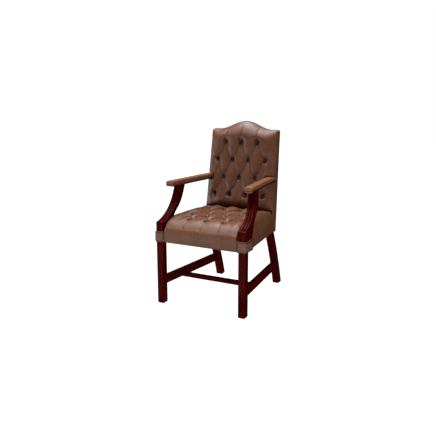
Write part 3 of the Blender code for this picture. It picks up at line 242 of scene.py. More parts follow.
# %% Mahogany, once for each grain direction
def mahogany(name, squash):
    """Dark red wood: stretched figure and fine pores under a thin coat."""
    made, tree, shader = new_finish(name)
    here = wire(tree, "TexCoord").outputs["Object"]
    along = wire(tree, "Mapping", {"Vector": here, "Scale": squash}).outputs[0]
    figure = noise(tree, along, 80, 6, Distortion=0.9)
    pores = noise(tree, along, 330, 2)
    red = blend(tree, between(tree, figure, 0.33, 0.68),
                (0.012, 0.0003, 0.0002, 1), (0.066, 0.0017, 0.0006, 1))
    tint = blend(tree, between(tree, pores, 0.56, 0.72, 0.0, 0.7), red, (0.008, 0.0004, 0.0003, 1))
    rub = between(tree, noise(tree, here, 18, 3), 0.3, 0.7, 0.24, 0.40)
    feed(tree, shader, {"Base Color": tint, "Roughness": rub, "Normal": bump(tree, 0.25, 0.0003, pores),
                        "Specular IOR Level": 0.004, "Coat Weight": 0.05, "Coat Roughness": 0.10})
    return made


WOOD = {"x": mahogany("mahogany_across", (0.06, 1, 1)),
        "y": mahogany("mahogany_along", (1, 0.06, 1)),
        "z": mahogany("mahogany_up", (1, 1, 0.06))}
print("wood:", [m.name for m in WOOD.values()])

# %% [markdown]
# The rest is small or hidden: darkened brass for the nails, plain beech for the inner rails, jute for
# the webbing, black cambric under the seat and bright steel for the screws. Each still gets its own
# colour change, roughness change and relief, because the part may be opened up or seen from below.


# %% Brass, beech, jute, cambric and steel
def mottled(name, first, second, scale, squash, rough, metal, strength, distance,
            weave=False, rub=None):
    """Two colours by stretched noise, or by crossed threads, with relief from the same pattern."""
    made, tree, shader = new_finish(name)
    here = wire(tree, "TexCoord").outputs["Object"]
    along = wire(tree, "Mapping", {"Vector": here, "Scale": squash}).outputs[0]
    pattern = lift = noise(tree, along, scale, 5)
    if weave:
        threads = [wire(tree, "TexWave", {"Vector": along, "Scale": scale, "Distortion": 0.6},
                        bands_direction=way).outputs["Fac"] for way in "XYZ"]
        lift = combined(tree, "MAXIMUM", combined(tree, "MAXIMUM", threads[0], threads[1]), threads[2])
    tint = blend(tree, between(tree, lift, 0.3, 0.75), first, second)
    # A paler colour at the marked crowns of the nail heads: wear, and a painted highlight.
    if rub:
        tint = blend(tree, wire(tree, "Attribute", attribute_name="worn_and_highlit").outputs["Fac"], tint, rub)
    feed(tree, shader, {"Base Color": tint, "Metallic": metal,
                        "Normal": bump(tree, strength, distance, lift),
                        "Roughness": between(tree, pattern, 0.3, 0.7, rough - 0.08, rough + 0.08)})
    return made


BRASS = mottled("antique_brass", (0.004, 0.003, 0.002, 1), (0.022, 0.017, 0.011, 1), 260, (1, 1, 1),
                0.42, 0.5, 0.3, 0.0003, rub=(0.07, 0.055, 0.038, 1))
BEECH = mottled("plain_beech", (0.42, 0.27, 0.15, 1), (0.60, 0.42, 0.26, 1), 60, (1, 0.2, 1),
                0.62, 0.0, 0.3, 0.0004)
JUTE = mottled("jute_web", (0.22, 0.155, 0.085, 1), (0.46, 0.35, 0.20, 1), 190, (1, 1, 1),
               0.88, 0.0, 0.6, 0.0006, weave=True)
CAMBRIC = mottled("black_cambric", (0.008, 0.008, 0.008, 1), (0.030, 0.030, 0.029, 1), 420,
                  (1, 1, 1), 0.90, 0.0, 0.5, 0.0003, weave=True)
STEEL = mottled("screw_steel", (0.40, 0.40, 0.41, 1), (0.62, 0.62, 0.62, 1), 400, (1, 1, 1),
                0.36, 1.0, 0.2, 0.0002)
inner_finish = {"seat_webbing": JUTE, "back_webbing": JUTE}
for name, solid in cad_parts.items():
    inside = STEEL if "screw" in name else BEECH
    if name.startswith("arm_rail"):
        inside = WOOD["y"]
    solid.data.materials.clear()
    solid.data.materials.append(inner_finish.get(name, inside))
print("finishes:", len(bpy.data.materials))

# %% [markdown]
# ## Tools for every piece
# Most sticks and pads are a section carried along a path. Blender has no single loft operator, so a
# circle's points are laid on the first section, its face is extruded, the new points are laid on the
# next section, and so on. The first face stays behind, so the skin is closed at both ends.


# %% Loft by extruding a face from section to section
def loft(name, rings):
    """A closed skin over sections with the same number of (x, y, z) points."""
    fresh()
    bpy.ops.mesh.primitive_circle_add(vertices=len(rings[0]), fill_type="NGON")
    made = bpy.context.object
    made.name = made.data.name = name
    bpy.ops.object.mode_set(mode="EDIT")
    bpy.ops.mesh.select_mode(type="FACE")
    bpy.ops.mesh.select_all(action="SELECT")
    slots = None
    for k, ring in enumerate(rings):
        if k:
            bpy.ops.mesh.extrude_region_move()
        bm = bmesh.from_edit_mesh(made.data)
        face = next(f for f in bm.faces if f.select)
        order = range(len(ring)) if slots is None else [slots[v.co.copy().freeze()] for v in face.verts]
        for i, vert in zip(order, face.verts):
            x, y, z = ring[i]
            vert.co = (x, y + FRONT, z)
        slots = {vert.co.copy().freeze(): i for i, vert in zip(order, face.verts)}
        bmesh.update_edit_mesh(made.data)
    return edit_all(made, OUTWARD)


# %% Select, edit, apply a modifier, take the sharp edge off, cut with another object
OUTWARD = (bpy.ops.mesh.normals_make_consistent, {"inside": False})


def only(piece):
    """Selects one piece, and nothing else, for the next operator."""
    fresh()
    bpy.context.view_layer.objects.active = piece
    piece.select_set(True)


def edit_all(piece, *steps):
    """Runs mesh operators, each with its settings, on the whole of a piece."""
    only(piece)
    bpy.ops.object.mode_set(mode="EDIT")
    bpy.ops.mesh.select_all(action="SELECT")
    for operator, settings in steps:
        operator(**settings)
    bpy.ops.object.mode_set(mode="OBJECT")
    return piece


def apply(piece, kind, **settings):
    """Adds a modifier, sets it and applies it."""
    only(piece)
    modifier = piece.modifiers.new(kind.lower(), kind)
    for key, value in settings.items():
        setattr(modifier, key, value)
    bpy.ops.object.modifier_apply(modifier=modifier.name)
    return piece


def ease(piece, width, segments=2, angle=32):
    """Rounds every edge sharper than an angle."""
    return apply(piece, "BEVEL", width=width, segments=segments, limit_method="ANGLE",
                 angle_limit=math.radians(angle), use_clamp_overlap=True)


def carve(piece, *cutters, solver="EXACT"):
    """Cuts other objects out of a piece."""
    for cutter in cutters:
        apply(piece, "BOOLEAN", operation="DIFFERENCE", object=cutter, solver=solver)
    return piece


def discard(*pieces):
    for piece in pieces:
        bpy.data.objects.remove(piece)


def carve_out(piece, *cutters, solver="EXACT"):
    """Cuts other objects out of a piece and removes them."""
    carve(piece, *cutters, solver=solver)
    discard(*cutters)
    return piece


def smooth(piece, angle=40):
    """Smooth shading that keeps edges sharper than an angle."""
    only(piece)
    bpy.ops.object.shade_smooth_by_angle(angle=math.radians(angle))
    return piece


# %% Even steps, and blocks to cut with
def spread(start, end, count):
    """Evenly spaced values from start to end."""
    return [start + (end - start) * i / (count - 1) for i in range(count)]


def quarter(count):
    """Cosines and sines of even steps through a quarter turn."""
    angles = [math.pi / 2 * i / (count - 1) for i in range(count)]
    return [(math.cos(angle), math.sin(angle)) for angle in angles]


def slab(name, plan, low, high):
    """A plan of (x, y) corners raised from one height to another."""
    return loft(name, [[(x, y, z) for x, y in plan] for z in (low, high)])


def through(name, outline, front, rear):
    """An outline of (x, z) corners carried from front to rear."""
    return loft(name, [[(x, y, z) for x, z in outline] for y in (front, rear)])


def box(name, low, high):
    """A block between two corners."""
    (a, b, c), (d, e, f) = low, high
    return slab(name, [(a, b), (d, b), (d, e), (a, e)], c, f)


# %% A mirrored twin, and the last steps that every piece shares
def duplicate(piece):
    """A copy with its own mesh, selected and active."""
    made = piece.copy()
    made.data = piece.data.copy()
    scene.collection.objects.link(made)
    made.select_set(True)
    bpy.context.view_layer.objects.active = made
    return made


def twin(piece, name):
    """A copy mirrored to the other side of the chair."""
    fresh()
    made = duplicate(piece)
    made.name = made.data.name = name
    made.scale.x = -1
    bpy.ops.object.transform_apply(location=True, rotation=True, scale=True)
    return edit_all(made, OUTWARD)


def settle(piece, finish, slot, *nodes, fill=None):
    """Gives a finished piece its material, its body and the solids that it stands for."""
    piece.data.materials.clear()
    piece.data.materials.append(finish)
    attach(piece, "root")
    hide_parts(*nodes)
    triangles = sum(len(f.vertices) - 2 for f in piece.data.polygons)
    print("made", piece.name, "with", triangles, "triangles")


def settle_pair(piece, finish, slot, node, fill=None):
    """Settles a right-hand piece and its mirrored twin."""
    left = twin(piece, piece.name.replace("right", "left"))
    settle(piece, finish, slot, node + "_right", fill=fill)
    settle(left, finish, slot, node + "_left", fill=fill)


# %% [markdown]
# ## The polished frame
# Legs, stretchers and arm supports are the sticks that show. The hidden rails are tenoned into them, so
# the solids of the rails, blocks and screws are copied into one cutter, which opens their mortises and
# holes in one go. They could be drawn one by one, but a copy of the real tenon always fits.

# %% One cutter for the mortises
INNER = ("seat_front_rail", "seat_side_rail", "seat_back_rail", "back_crest", "back_lower", "arm_rail",
         "corner_block", "block_screw", "arm_screw", "support_screw")
fresh()
for name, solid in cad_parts.items():
    if name.startswith(INNER):
        duplicate(solid).parent = None
bpy.ops.object.join()
joinery = bpy.context.object
joinery.name = "joinery_cutter"
edit_all(joinery, (bpy.ops.mesh.remove_doubles, {"threshold": 0.00001}))
print("joinery cutter:", len(joinery.data.polygons), "faces")

# %% Front leg: a square stick with its foot's edges taken off
GAP = 0.0003
FRONT_HALF, FRONT_LEG, RAIL_TOP, FOOT_CHAMFER = 0.282, 0.042, 0.437, 0.005
ARRIS = 0.0016
fresh()
bpy.ops.mesh.primitive_cube_add(size=1, location=(
    FRONT_HALF - FRONT_LEG / 2, FRONT + FRONT_LEG / 2, RAIL_TOP / 2))
front_leg = bpy.context.object
front_leg.name = front_leg.data.name = "square_leg_right"
front_leg.scale = (FRONT_LEG, FRONT_LEG, RAIL_TOP)
bpy.ops.object.transform_apply(location=True, rotation=True, scale=True)


def chamfer_foot(leg):
    """Bevels the edges that stand on the floor."""
    only(leg)
    bpy.ops.object.mode_set(mode="EDIT")
    bpy.ops.mesh.select_mode(type="EDGE")
    bpy.ops.mesh.select_all(action="DESELECT")
    bm = bmesh.from_edit_mesh(leg.data)
    for edge in bm.edges:
        edge.select_set(all(abs(v.co.z) < 0.0005 for v in edge.verts))
    bmesh.update_edit_mesh(leg.data)
    bpy.ops.mesh.bevel(offset=FOOT_CHAMFER, segments=1, affect="EDGES")
    bpy.ops.object.mode_set(mode="OBJECT")


chamfer_foot(front_leg)
ease(front_leg, ARRIS)
print("front leg faces:", len(front_leg.data.polygons))

# %% [markdown]
# The rear leg is one curved stick: it sweeps back to the floor below the seat, and above it leans back
# and in as the back's upright. Its section is always a rectangle, so some twenty level sections follow
# the sweep. It is eased afterwards like the front leg.

# %% Rear leg
REAR_HALF, REAR_LEG_WIDTH, REAR_LEG_DEPTH = 0.228, 0.042, 0.045
HEEL, FOOT_SPLAY, KNEE_Y, KNEE_Z = 0.694, 0.30, 0.549, 0.362
UPRIGHT_FRONT, UPRIGHT_REAR, UPRIGHT_TOP = 0.532, 0.566, 0.9867
RAKE, TAPER = 0.108, 0.0192 / 0.456 / 0.555


def leg_rear_edge(z):
    """How far back the swept leg's rear edge is, below the knee."""
    bend = (HEEL - KNEE_Y - FOOT_SPLAY * KNEE_Z) / KNEE_Z ** 2
    return HEEL - FOOT_SPLAY * z - bend * z * z


def leg_front_edge(z):
    """How far back the swept leg's front face is, below the seat rails."""
    if z <= KNEE_Z:
        return leg_rear_edge(z) - REAR_LEG_DEPTH
    share = (z - KNEE_Z) / (RAIL_TOP - KNEE_Z)
    return (KNEE_Y - REAR_LEG_DEPTH) * (1 - share) + UPRIGHT_FRONT * share


stations = [(leg_rear_edge(z), z, REAR_LEG_DEPTH) for z in spread(0.0, KNEE_Z, 21)]
stations.append((UPRIGHT_REAR, RAIL_TOP, UPRIGHT_REAR - UPRIGHT_FRONT))
stations.append((UPRIGHT_REAR + RAKE * (UPRIGHT_TOP - RAIL_TOP), UPRIGHT_TOP,
                 UPRIGHT_REAR - UPRIGHT_FRONT))
rings = []
for rear, z, depth in stations:
    narrow = 1 - TAPER * max(0.0, z - RAIL_TOP)
    outer, inner = REAR_HALF * narrow, (REAR_HALF - REAR_LEG_WIDTH) * narrow
    front = rear - depth
    rings.append([(inner, front, z), (outer, front, z), (outer, rear, z), (inner, rear, z)])
rear_leg = loft("swept_leg_right", rings)
chamfer_foot(rear_leg)
ease(rear_leg, ARRIS)
print("rear leg faces:", len(rear_leg.data.polygons))

# %% [markdown]
# The stretchers are plain bars low between the legs: one along each side and one across. Each end is cut
# to the face that it meets, the rear one on the slant of the swept leg, so two sections are enough.

# %% Side stretcher and cross stretcher
STRETCHER_LOW, STRETCHER_HIGH, STRETCHER_THICK = 0.113, 0.163, 0.025
CROSS_Y, CROSS_LOW, CROSS_HIGH, CROSS_THICK = 0.2125, 0.113, 0.139, 0.024


def leg_line(y, z):
    """Half of the distance between the lines through the two sides' leg centres."""
    front_x, front_y = FRONT_HALF - FRONT_LEG / 2, FRONT_LEG / 2
    rear_x, rear_y = REAR_HALF - REAR_LEG_WIDTH / 2, leg_front_edge(z) + REAR_LEG_DEPTH / 2
    return front_x + (rear_x - front_x) * (y - front_y) / (rear_y - front_y)


middle = (STRETCHER_LOW + STRETCHER_HIGH) / 2
slope = (leg_line(0.5, middle) - leg_line(0.0, middle)) / 0.5
across = STRETCHER_THICK / 2 * math.hypot(1, slope)


def bar_corners(low, high):
    """A bar's four corners, as side and height."""
    return (-1, low), (1, low), (1, high), (-1, high)


def stretcher_ring(end):
    """A side stretcher's end, cut to the face that it meets."""
    return [(leg_line(end(z), middle) + side * across, end(z), z)
            for side, z in bar_corners(STRETCHER_LOW, STRETCHER_HIGH)]


side_stretcher = loft("side_bar_right", [stretcher_ring(lambda z: FRONT_LEG + GAP),
                                         stretcher_ring(lambda z: leg_front_edge(z) - GAP)])
ease(side_stretcher, ARRIS)
rings = [[], []]
for ring, side in zip(rings, (-1, 1)):
    for way, z in bar_corners(CROSS_LOW, CROSS_HIGH):
        y = CROSS_Y + way * CROSS_THICK / 2
        ring.append((side * (leg_line(y, middle) - across - GAP), y, z))
cross_bar = ease(loft("cross_bar", rings), ARRIS)
print("cross bar", round(2 * rings[1][0][0], 3), "m long")

# %% [markdown]
# The arm supports sweep up and back from a square toe on the front leg to the arm. Their fronts are
# reeded: three round ribs side by side. A carver cuts the ribs last, but here they are in the section
# from the start, which keeps them parallel along the whole curve. They begin above the toe.

# %% Arm support
ARM_TOP, ARM_BOTTOM = 0.7165, 0.6835
SUPPORT_WIDTH, SUPPORT_LEAN, TOE_Z, REED_DEPTH = 0.0475, 0.10, 0.491, 0.0034
TOE_CURVE = ((0.0, 0.491), (0.1009, 0.5194), (0.1539, 0.5831), (0.171, 0.6895))
HEEL_CURVE = ((0.0875, 0.437), (0.1191, 0.5852), (0.1850, 0.5133), (0.217, 0.6895))
HEEL_START = 0.22
REED = (-1, -0.86, -0.66, -0.34, 0, 0.34, 0.66, 0.86)


def on_curve(points, t):
    """A point of a cubic curve in the side view."""
    weights = ((1 - t) ** 3, 3 * t * (1 - t) ** 2, 3 * t * t * (1 - t), t ** 3)
    return Vector([sum(w * p[i] for w, p in zip(weights, points)) for i in (0, 1)])


def support_outer(z):
    """Half of the distance between the two supports' outer faces."""
    return FRONT_HALF - SUPPORT_LEAN * max(0.0, z - TOE_Z)


reeds = [((k + (q + 1) / 2) / 3, abs(q) ** 5) for k in range(3) for q in REED] + [(1.0, 1.0)]


def support_ring(front, rear, sunk):
    """A reeded front from outer to inner side, then the plain rear back again."""
    spots = [(share, front + sunk * depth * REED_DEPTH) for share, depth in reeds]
    spots += [(share, rear) for share in (1.0, 0.7, 0.3, 0.0)]
    return [(support_outer(p.y) - SUPPORT_WIDTH * share, p.x, p.y) for share, p in spots]


STEPS = 24
none = Vector((0.0, 0.0))
foot = Vector((0.0875, RAIL_TOP + GAP))
rings = [support_ring(Vector((0.0, foot.y)), foot, none),
         support_ring(Vector(TOE_CURVE[0]), on_curve(HEEL_CURVE, HEEL_START), none)]
for i in range(1, STEPS + 1):
    t = i / STEPS
    front = on_curve(TOE_CURVE, t)
    along = (front - on_curve(TOE_CURVE, t - 0.02)).normalized()
    sunk = Vector((1.0, 0.0)) if i == STEPS else Vector((along.y, -along.x))
    rings.append(support_ring(front, on_curve(HEEL_CURVE, HEEL_START + (1 - HEEL_START) * t),
                              sunk * min(1.0, i / 2)))
rings[-1] = [(x, y, min(z, ARM_BOTTOM - GAP)) for x, y, z in rings[-1]]
support = loft("reeded_support_right", rings)
ease(support, 0.0012, 2, 50)
print("support faces:", len(support.data.polygons))

# %% Cut the mortises, make the left-hand twins and settle the frame
for piece, node, grain in ((front_leg, "front_leg", "z"), (rear_leg, "rear_leg", "z"),
                           (side_stretcher, "side_stretcher", "y"), (support, "arm_support", "z")):
    settle_pair(smooth(carve(piece, joinery)), WOOD[grain], "mahogany", node)
settle(smooth(cross_bar), WOOD["x"], "mahogany", "cross_stretcher")

# %% [markdown]
# ## Deep buttoning
# Each button is pulled down through the padding with twine, and the leather is folded into a pleat from
# button to button, so that the stuffing stands up in diamonds. The pattern is rows of three and four.
# The fold always falls downwards, or forwards on a seat, so that no dust stays in it: a lobe rises
# gently from under the one above it and ends in a round, steep tip. A sculptor would press this in by
# hand. Here a function says how far the leather is drawn in at each point, and pressure puffs it up.

# %% Rows of buttons and the pleats between them
ROWS, SHARP, FOLD_HOLD, BUTTON_HOLD = 4, 5, 0.60, 0.80
BUTTON_EDGE, PIT_OVER, PIT_UNDER, PIT_SLOPE = 0.0085, 0.048, 0.020, 0.10
LOWER_FOLD, UPPER_FOLD, EDGE_PLEAT = 0.056, 0.095, 0.024
LIP_AWAY, LIP_WIDTH, GRID = 0.0045, 0.0024, 12
SLOPE_HOLD, PLEAT_HOLD, PLEAT_FADE = 0.45, 0.34, 0.26


def button_rows(first, step, pitch):
    """Three and four buttons in turn, as (v, [u]) pairs."""
    rows = []
    for k in range(ROWS):
        count = 3 + k % 2
        rows.append((first + k * step, [(i - (count - 1) / 2) * pitch for i in range(count)]))
    return rows


def pleat_lines(rows, first_edge, last_edge, side_edge):
    """Pleats from the outer buttons to the edges."""
    lines = [((u, rows[0][0]), (u, first_edge)) for u in rows[0][1]]
    lines += [((u, rows[-1][0]), (u, last_edge)) for u in rows[-1][1]]
    for v, us in rows[1::2]:
        lines += [((u, v), (math.copysign(side_edge, u), v)) for u in (us[0], us[-1])]
    return lines


def ramp(value, low, high):
    """A smooth step from 0 at low to 1 at high."""
    t = np.clip((value - low) / (high - low), 0, 1)
    return t * t * (3 - 2 * t)


def steep(t):
    """The round end of a lobe: 1 at the fold, 0 a full reach away, upright at the fold."""
    t = np.clip(t, 0, 1)
    return 1 - np.sqrt(1 - (1 - t) ** 2)


def gentle(t):
    """The slow, straight rise of a lobe from under the one above it."""
    return (1 - np.clip(t, 0, 1)) ** 1.1


def rounded(t):
    """A softer lobe end, with no upright part."""
    return (1 - np.clip(t, 0, 1)) ** 2


def bell(gap, width):
    """A narrow line: 1 on it, nearly 0 two widths away."""
    return np.exp(-(gap / width) ** 2)


def pressed(u, v, rows, fall):
    """The buttons' own pits: round above, small below."""
    total = np.zeros_like(u)
    for row_v, us in rows:
        for button in us:
            away = np.hypot(u - button, v - row_v)
            upper = 0.5 + 0.5 * (v - row_v) / np.maximum(away, 1e-6)
            over = fall((away - BUTTON_EDGE) / PIT_OVER)
            slope = SLOPE_HOLD * gentle(away / PIT_SLOPE)
            under = np.maximum(steep((away - BUTTON_EDGE) / PIT_UNDER), slope)
            total += (upper * over + (1 - upper) * under) ** SHARP
    return total


def folded(u, v, rows, fall):
    """Diamond by diamond: the depth from its four folds, the nearest fold's distance, the folded lip."""
    pitch, step = rows[0][1][1] - rows[0][1][0], abs(rows[1][0] - rows[0][0])
    width = pitch * step / math.hypot(pitch / 2, step)
    high = (v - rows[0][0]) / step
    p, q = u / pitch + high / 2, u / pitch - high / 2
    cell_p, cell_q = np.floor(p).astype(int), np.floor(q).astype(int)
    table = np.zeros((2 * GRID, 2 * GRID), bool)
    for row_v, us in rows:
        k = round((row_v - rows[0][0]) / step)
        for button in us:
            table[round(button / pitch + k / 2) + GRID, round(button / pitch - k / 2) + GRID] = True

    def stands(dp, dq):
        """Whether a diamond's corner holds a button."""
        spots = [np.clip(cell + GRID, 0, 2 * GRID - 1) for cell in (cell_p + dp, cell_q + dq)]
        return table[spots[0], spots[1]]

    left, top, bottom, right = stands(0, 0), stands(1, 0), stands(0, 1), stands(1, 1)
    fp, fq = p - cell_p, q - cell_q
    sides = {"ul": (left & top, fq * width, fp), "ur": (top & right, (1 - fp) * width, 1 - fq),
             "ll": (left & bottom, fp * width, 1 - fq), "lr": (bottom & right, (1 - fq) * width, fp)}
    total, lip, nearest = np.zeros_like(u), np.zeros_like(u), np.full_like(u, 1.0)
    for name, (there, gap, height) in sides.items():
        hold = FOLD_HOLD + (BUTTON_HOLD - FOLD_HOLD) * np.abs(2 * height - 1) ** 1.8
        if name[0] == "l":
            depth = fall(gap / LOWER_FOLD)
        else:
            depth = gentle(gap / UPPER_FOLD)
            for other in ("ur", "ll") if name == "ul" else ("ul", "lr"):
                depth = depth * np.where(sides[other][0], 1, ramp(sides[other][1], 0.0, 0.045))
            fade = ramp(1 - height, 0.06, 0.14) * (1 - ramp(1 - height, 0.30, 0.75))
            lip = np.maximum(lip, np.where(there, fade * bell(gap - LIP_AWAY, LIP_WIDTH), 0))
        total += np.where(there, hold * depth, 0) ** SHARP
        nearest = np.minimum(nearest, np.where(there, gap, 1.0))
    return total, nearest, lip


def drawn_in(u, v, rows, lines, fall):
    """Share of the full depth, distances to the nearest fold and edge pleat, and the lip's share."""
    total, folds, lip = folded(u, v, rows, fall)
    total += pressed(u, v, rows, fall)
    pleats = np.full_like(u, 1.0)
    for (au, av), (bu, bv) in lines:
        du, dv = bu - au, bv - av
        share = np.clip(((u - au) * du + (v - av) * dv) / (du * du + dv * dv), 0, 1)
        gap = np.hypot(u - au - share * du, v - av - share * dv)
        total += ((PLEAT_HOLD - PLEAT_FADE * share) * steep(gap / EDGE_PLEAT)) ** SHARP
        pleats = np.minimum(pleats, gap)
    return total ** (1 / SHARP), folds, pleats, lip


print("rows of buttons:", [len(us) for _, us in button_rows(0, 1, 1)])


# %% Read and write a mesh's points, even it out by voxels, puff it up by pressure
VOXEL, FRAMES, PRESSURE, PUFF_CAP = 0.005, 20, 4, 0.008


def points_of(piece, what="co"):
    """Each point's place, or its normal."""
    found = np.empty(len(piece.data.vertices) * 3, np.float32)
    piece.data.vertices.foreach_get(what, found)
    return found.reshape(-1, 3).astype(float)


def axes(points):
    """Each point's x, its distance behind the front legs' face, and its height."""
    return points[:, 0], points[:, 1] - FRONT, points[:, 2]


def move_points(piece, points):
    piece.data.vertices.foreach_set("co", points.astype(np.float32).ravel())
    piece.data.update()


def even_out(piece, rounds):
    """Even quads all over, with the corners worn round."""
    apply(piece, "REMESH", mode="VOXEL", voxel_size=VOXEL)
    return apply(piece, "SMOOTH", factor=0.5, iterations=rounds)


def held_down(drawn, *more):
    """How firmly each point is held while the cover fills: at buttons, folds, pleats and more."""
    share, folds, pleats = drawn[:3]
    return np.maximum.reduce([1 - ramp(folds, 0.004, 0.012), 0.6 * (1 - ramp(pleats, 0.003, 0.009)),
                              ramp(share, 0.70, 0.90), *more])


def puff_up(piece, pinned, cap=PUFF_CAP):
    """Air pressure for a few frames. Pinned points stay, and no point moves further than the cap."""
    rest = points_of(piece)
    group = piece.vertex_groups.new(name="pinned")
    for i in np.nonzero(pinned > 0.02)[0]:
        group.add([int(i)], float(pinned[i]), "REPLACE")
    only(piece)
    cloth = piece.modifiers.new("stuffing", "CLOTH")
    cloth.settings.use_pressure = True
    cloth.settings.uniform_pressure_force = PRESSURE
    cloth.settings.effector_weights.gravity = 0
    cloth.settings.vertex_group_mass = "pinned"
    for step in range(1, FRAMES + 1):
        scene.frame_set(step)
    bpy.ops.object.modifier_apply(modifier="stuffing")
    scene.frame_set(1)
    moved = points_of(piece) - rest
    far = np.linalg.norm(moved, axis=1, keepdims=True)
    move_points(piece, rest + moved * np.minimum(1, cap / np.maximum(far, 1e-9)))
    piece.vertex_groups.clear()
    print("puffed", piece.name, "by up to", round(1000 * float(far.max()), 1), "mm before the cap")
    return piece


def store(piece, name, values):
    """Keeps a value at each point, for the finish to read."""
    layer = piece.data.attributes.get(name) or piece.data.attributes.new(name, "FLOAT", "POINT")
    layer.data.foreach_set("value", np.clip(values, 0, 1).astype(np.float32))


# %% [markdown]
# ## The seat
# The seat is a webbed frame under deep horsehair padding: a soft roll at the front, a low crown, four
# rows of buttons, and pleats that run over the roll and down to the rails. It starts as a plain tapered
# block with a rolled top edge, notched round the arm supports and the corner patches.

# %% Seat block and its notches
SEAT_BOTTOM, SEAT_EDGE_Z, SEAT_ROLL = 0.371, 0.499, 0.048
SEAT_FRONT_Y, SEAT_REAR_Y, SEAT_FRONT_HALF, SEAT_REAR_HALF = -0.003, 0.5035, 0.2895, 0.2380
BACK_FACE_Y, PAD_EDGE = 0.451, 0.012
SEAT_SKIRT = ((0.0090, 0.0), (0.0050, 0.008), (0.0022, 0.022), (0.0005, 0.040), (0.0, 0.058))
PATCH_THICK, PATCH_FRONT, PATCH_SIDE = 0.005, 0.056, 0.092
PATCH_OUTER = FRONT_HALF + GAP + PATCH_THICK
ROUGH_ROOM, FINE_ROOM, ASIDE = 0.0015, 0.0006, 0.4


def seat_half(v):
    """Half of the seat's width at a distance from the front."""
    return SEAT_FRONT_HALF + (SEAT_REAR_HALF - SEAT_FRONT_HALF) * (v - SEAT_FRONT_Y) / (
        SEAT_REAR_Y - SEAT_FRONT_Y)


def seat_ring(inset, z, rear_inset=None):
    """The seat's plan, drawn in all round."""
    front = SEAT_FRONT_Y + inset
    rear = SEAT_REAR_Y - (min(inset, 0.004) if rear_inset is None else rear_inset)
    a, b = seat_half(front) - 0.7 * inset, seat_half(rear) - 0.4 * inset
    return [(-a, front, z), (a, front, z), (b, rear, z), (-b, rear, z)]


def support_notch(side, margin):
    """The room that an arm support takes in the seat."""
    rear = [foot] + [on_curve(HEEL_CURVE, t) for t in spread(HEEL_START, 1, 13)]
    outline = [(p.x + margin, p.y) for p in rear]
    outline += [(-0.05, ARM_BOTTOM), (-0.05, RAIL_TOP - margin)]
    inner = support_outer(0.530) - SUPPORT_WIDTH - margin
    return loft("support_room", [[(side * x, y, z) for y, z in outline] for x in (inner, ASIDE)])


def patch_notch(side, margin):
    """The room that a corner patch takes in the seat."""
    edges = sorted((side * (PATCH_OUTER - PATCH_FRONT - margin), side * ASIDE))
    return box("patch_room", (edges[0], -0.05, 0.3), (edges[1], PATCH_SIDE + margin, RAIL_TOP + margin))


def seat_cutters(margin):
    return [make(side, margin) for side in (-1, 1) for make in (support_notch, patch_notch)]


rings = [seat_ring(inset, SEAT_BOTTOM + rise) for inset, rise in SEAT_SKIRT]
rings += [seat_ring(SEAT_ROLL * (1 - c) + 0.001, SEAT_EDGE_Z - SEAT_ROLL + SEAT_ROLL * s)
          for c, s in quarter(8)]
seat = loft("buttoned_seat", rings)
even_out(carve_out(seat, *seat_cutters(ROUGH_ROOM)), 3)
print("seat points:", len(seat.data.vertices))

# %% Seat crown, buttoning and pleats
SEAT_DEPTH, SEAT_PITCH, SIDE_SLANT = 0.036, 0.110, 0.055
SEAT_CROWN, CROWN_RUN, REAR_RISE, REAR_RUN = 0.035, 0.089, 0.010, 0.042
FRONT_FALL, CORNER_FALL, FRONT_ROW, SEAT_STEP = 0.013, 0.020, 0.085, 0.115
seat_rows = button_rows(FRONT_ROW, SEAT_STEP, SEAT_PITCH)
seat_lines = pleat_lines(seat_rows, SEAT_FRONT_Y, SEAT_REAR_Y, SEAT_FRONT_HALF)


def seat_field(points):
    """The buttoning at each point, and how much of its depth and of the pleat lines counts there."""
    u, v, z = axes(points)
    low = np.clip((SEAT_EDGE_Z - z) / (SEAT_EDGE_Z - SEAT_BOTTOM), 0, 1)
    at_side = ramp(np.abs(u), seat_half(v) - 0.045, seat_half(v) - 0.012)
    drawn = drawn_in(u, v - SIDE_SLANT * low ** 1.5 * at_side, seat_rows, seat_lines, steep)
    room = np.clip(2 * (seat_half(v) - np.abs(u)) / SEAT_PITCH, 0.35, 1)
    keep = (1 - 0.85 * low) * np.maximum(room, 1 - ramp(v, 0.0, 0.02))
    return drawn, keep, 1 - 0.45 * low


def seat_crown(points):
    """How much the stuffing rises above the block."""
    u, v, z = axes(points)
    across = 1 - np.clip(np.abs(u) / (seat_half(v) - 0.006), 0, 1) ** 5
    front = np.clip((v - SEAT_FRONT_Y - PAD_EDGE) / CROWN_RUN, 0, 1)
    rise = SEAT_CROWN * across * (1 - (1 - front) ** 2)
    rear = np.clip((BACK_FACE_Y + 0.017 - v) / REAR_RUN, 0, 1)
    rise = np.minimum(rise, REAR_RISE + (SEAT_CROWN - REAR_RISE) * (1 - (1 - rear) ** 2))
    corner = ramp(np.abs(u), seat_half(v) - 0.085, seat_half(v) - 0.005) * (1 - ramp(v, 0.03, 0.15))
    fall = FRONT_FALL * (1 - ramp(v, 0.02, 0.19)) + CORNER_FALL * corner
    return rise * ramp(z, 0.445, SEAT_EDGE_Z - 0.004) - fall * ramp(z, 0.425, 0.49)


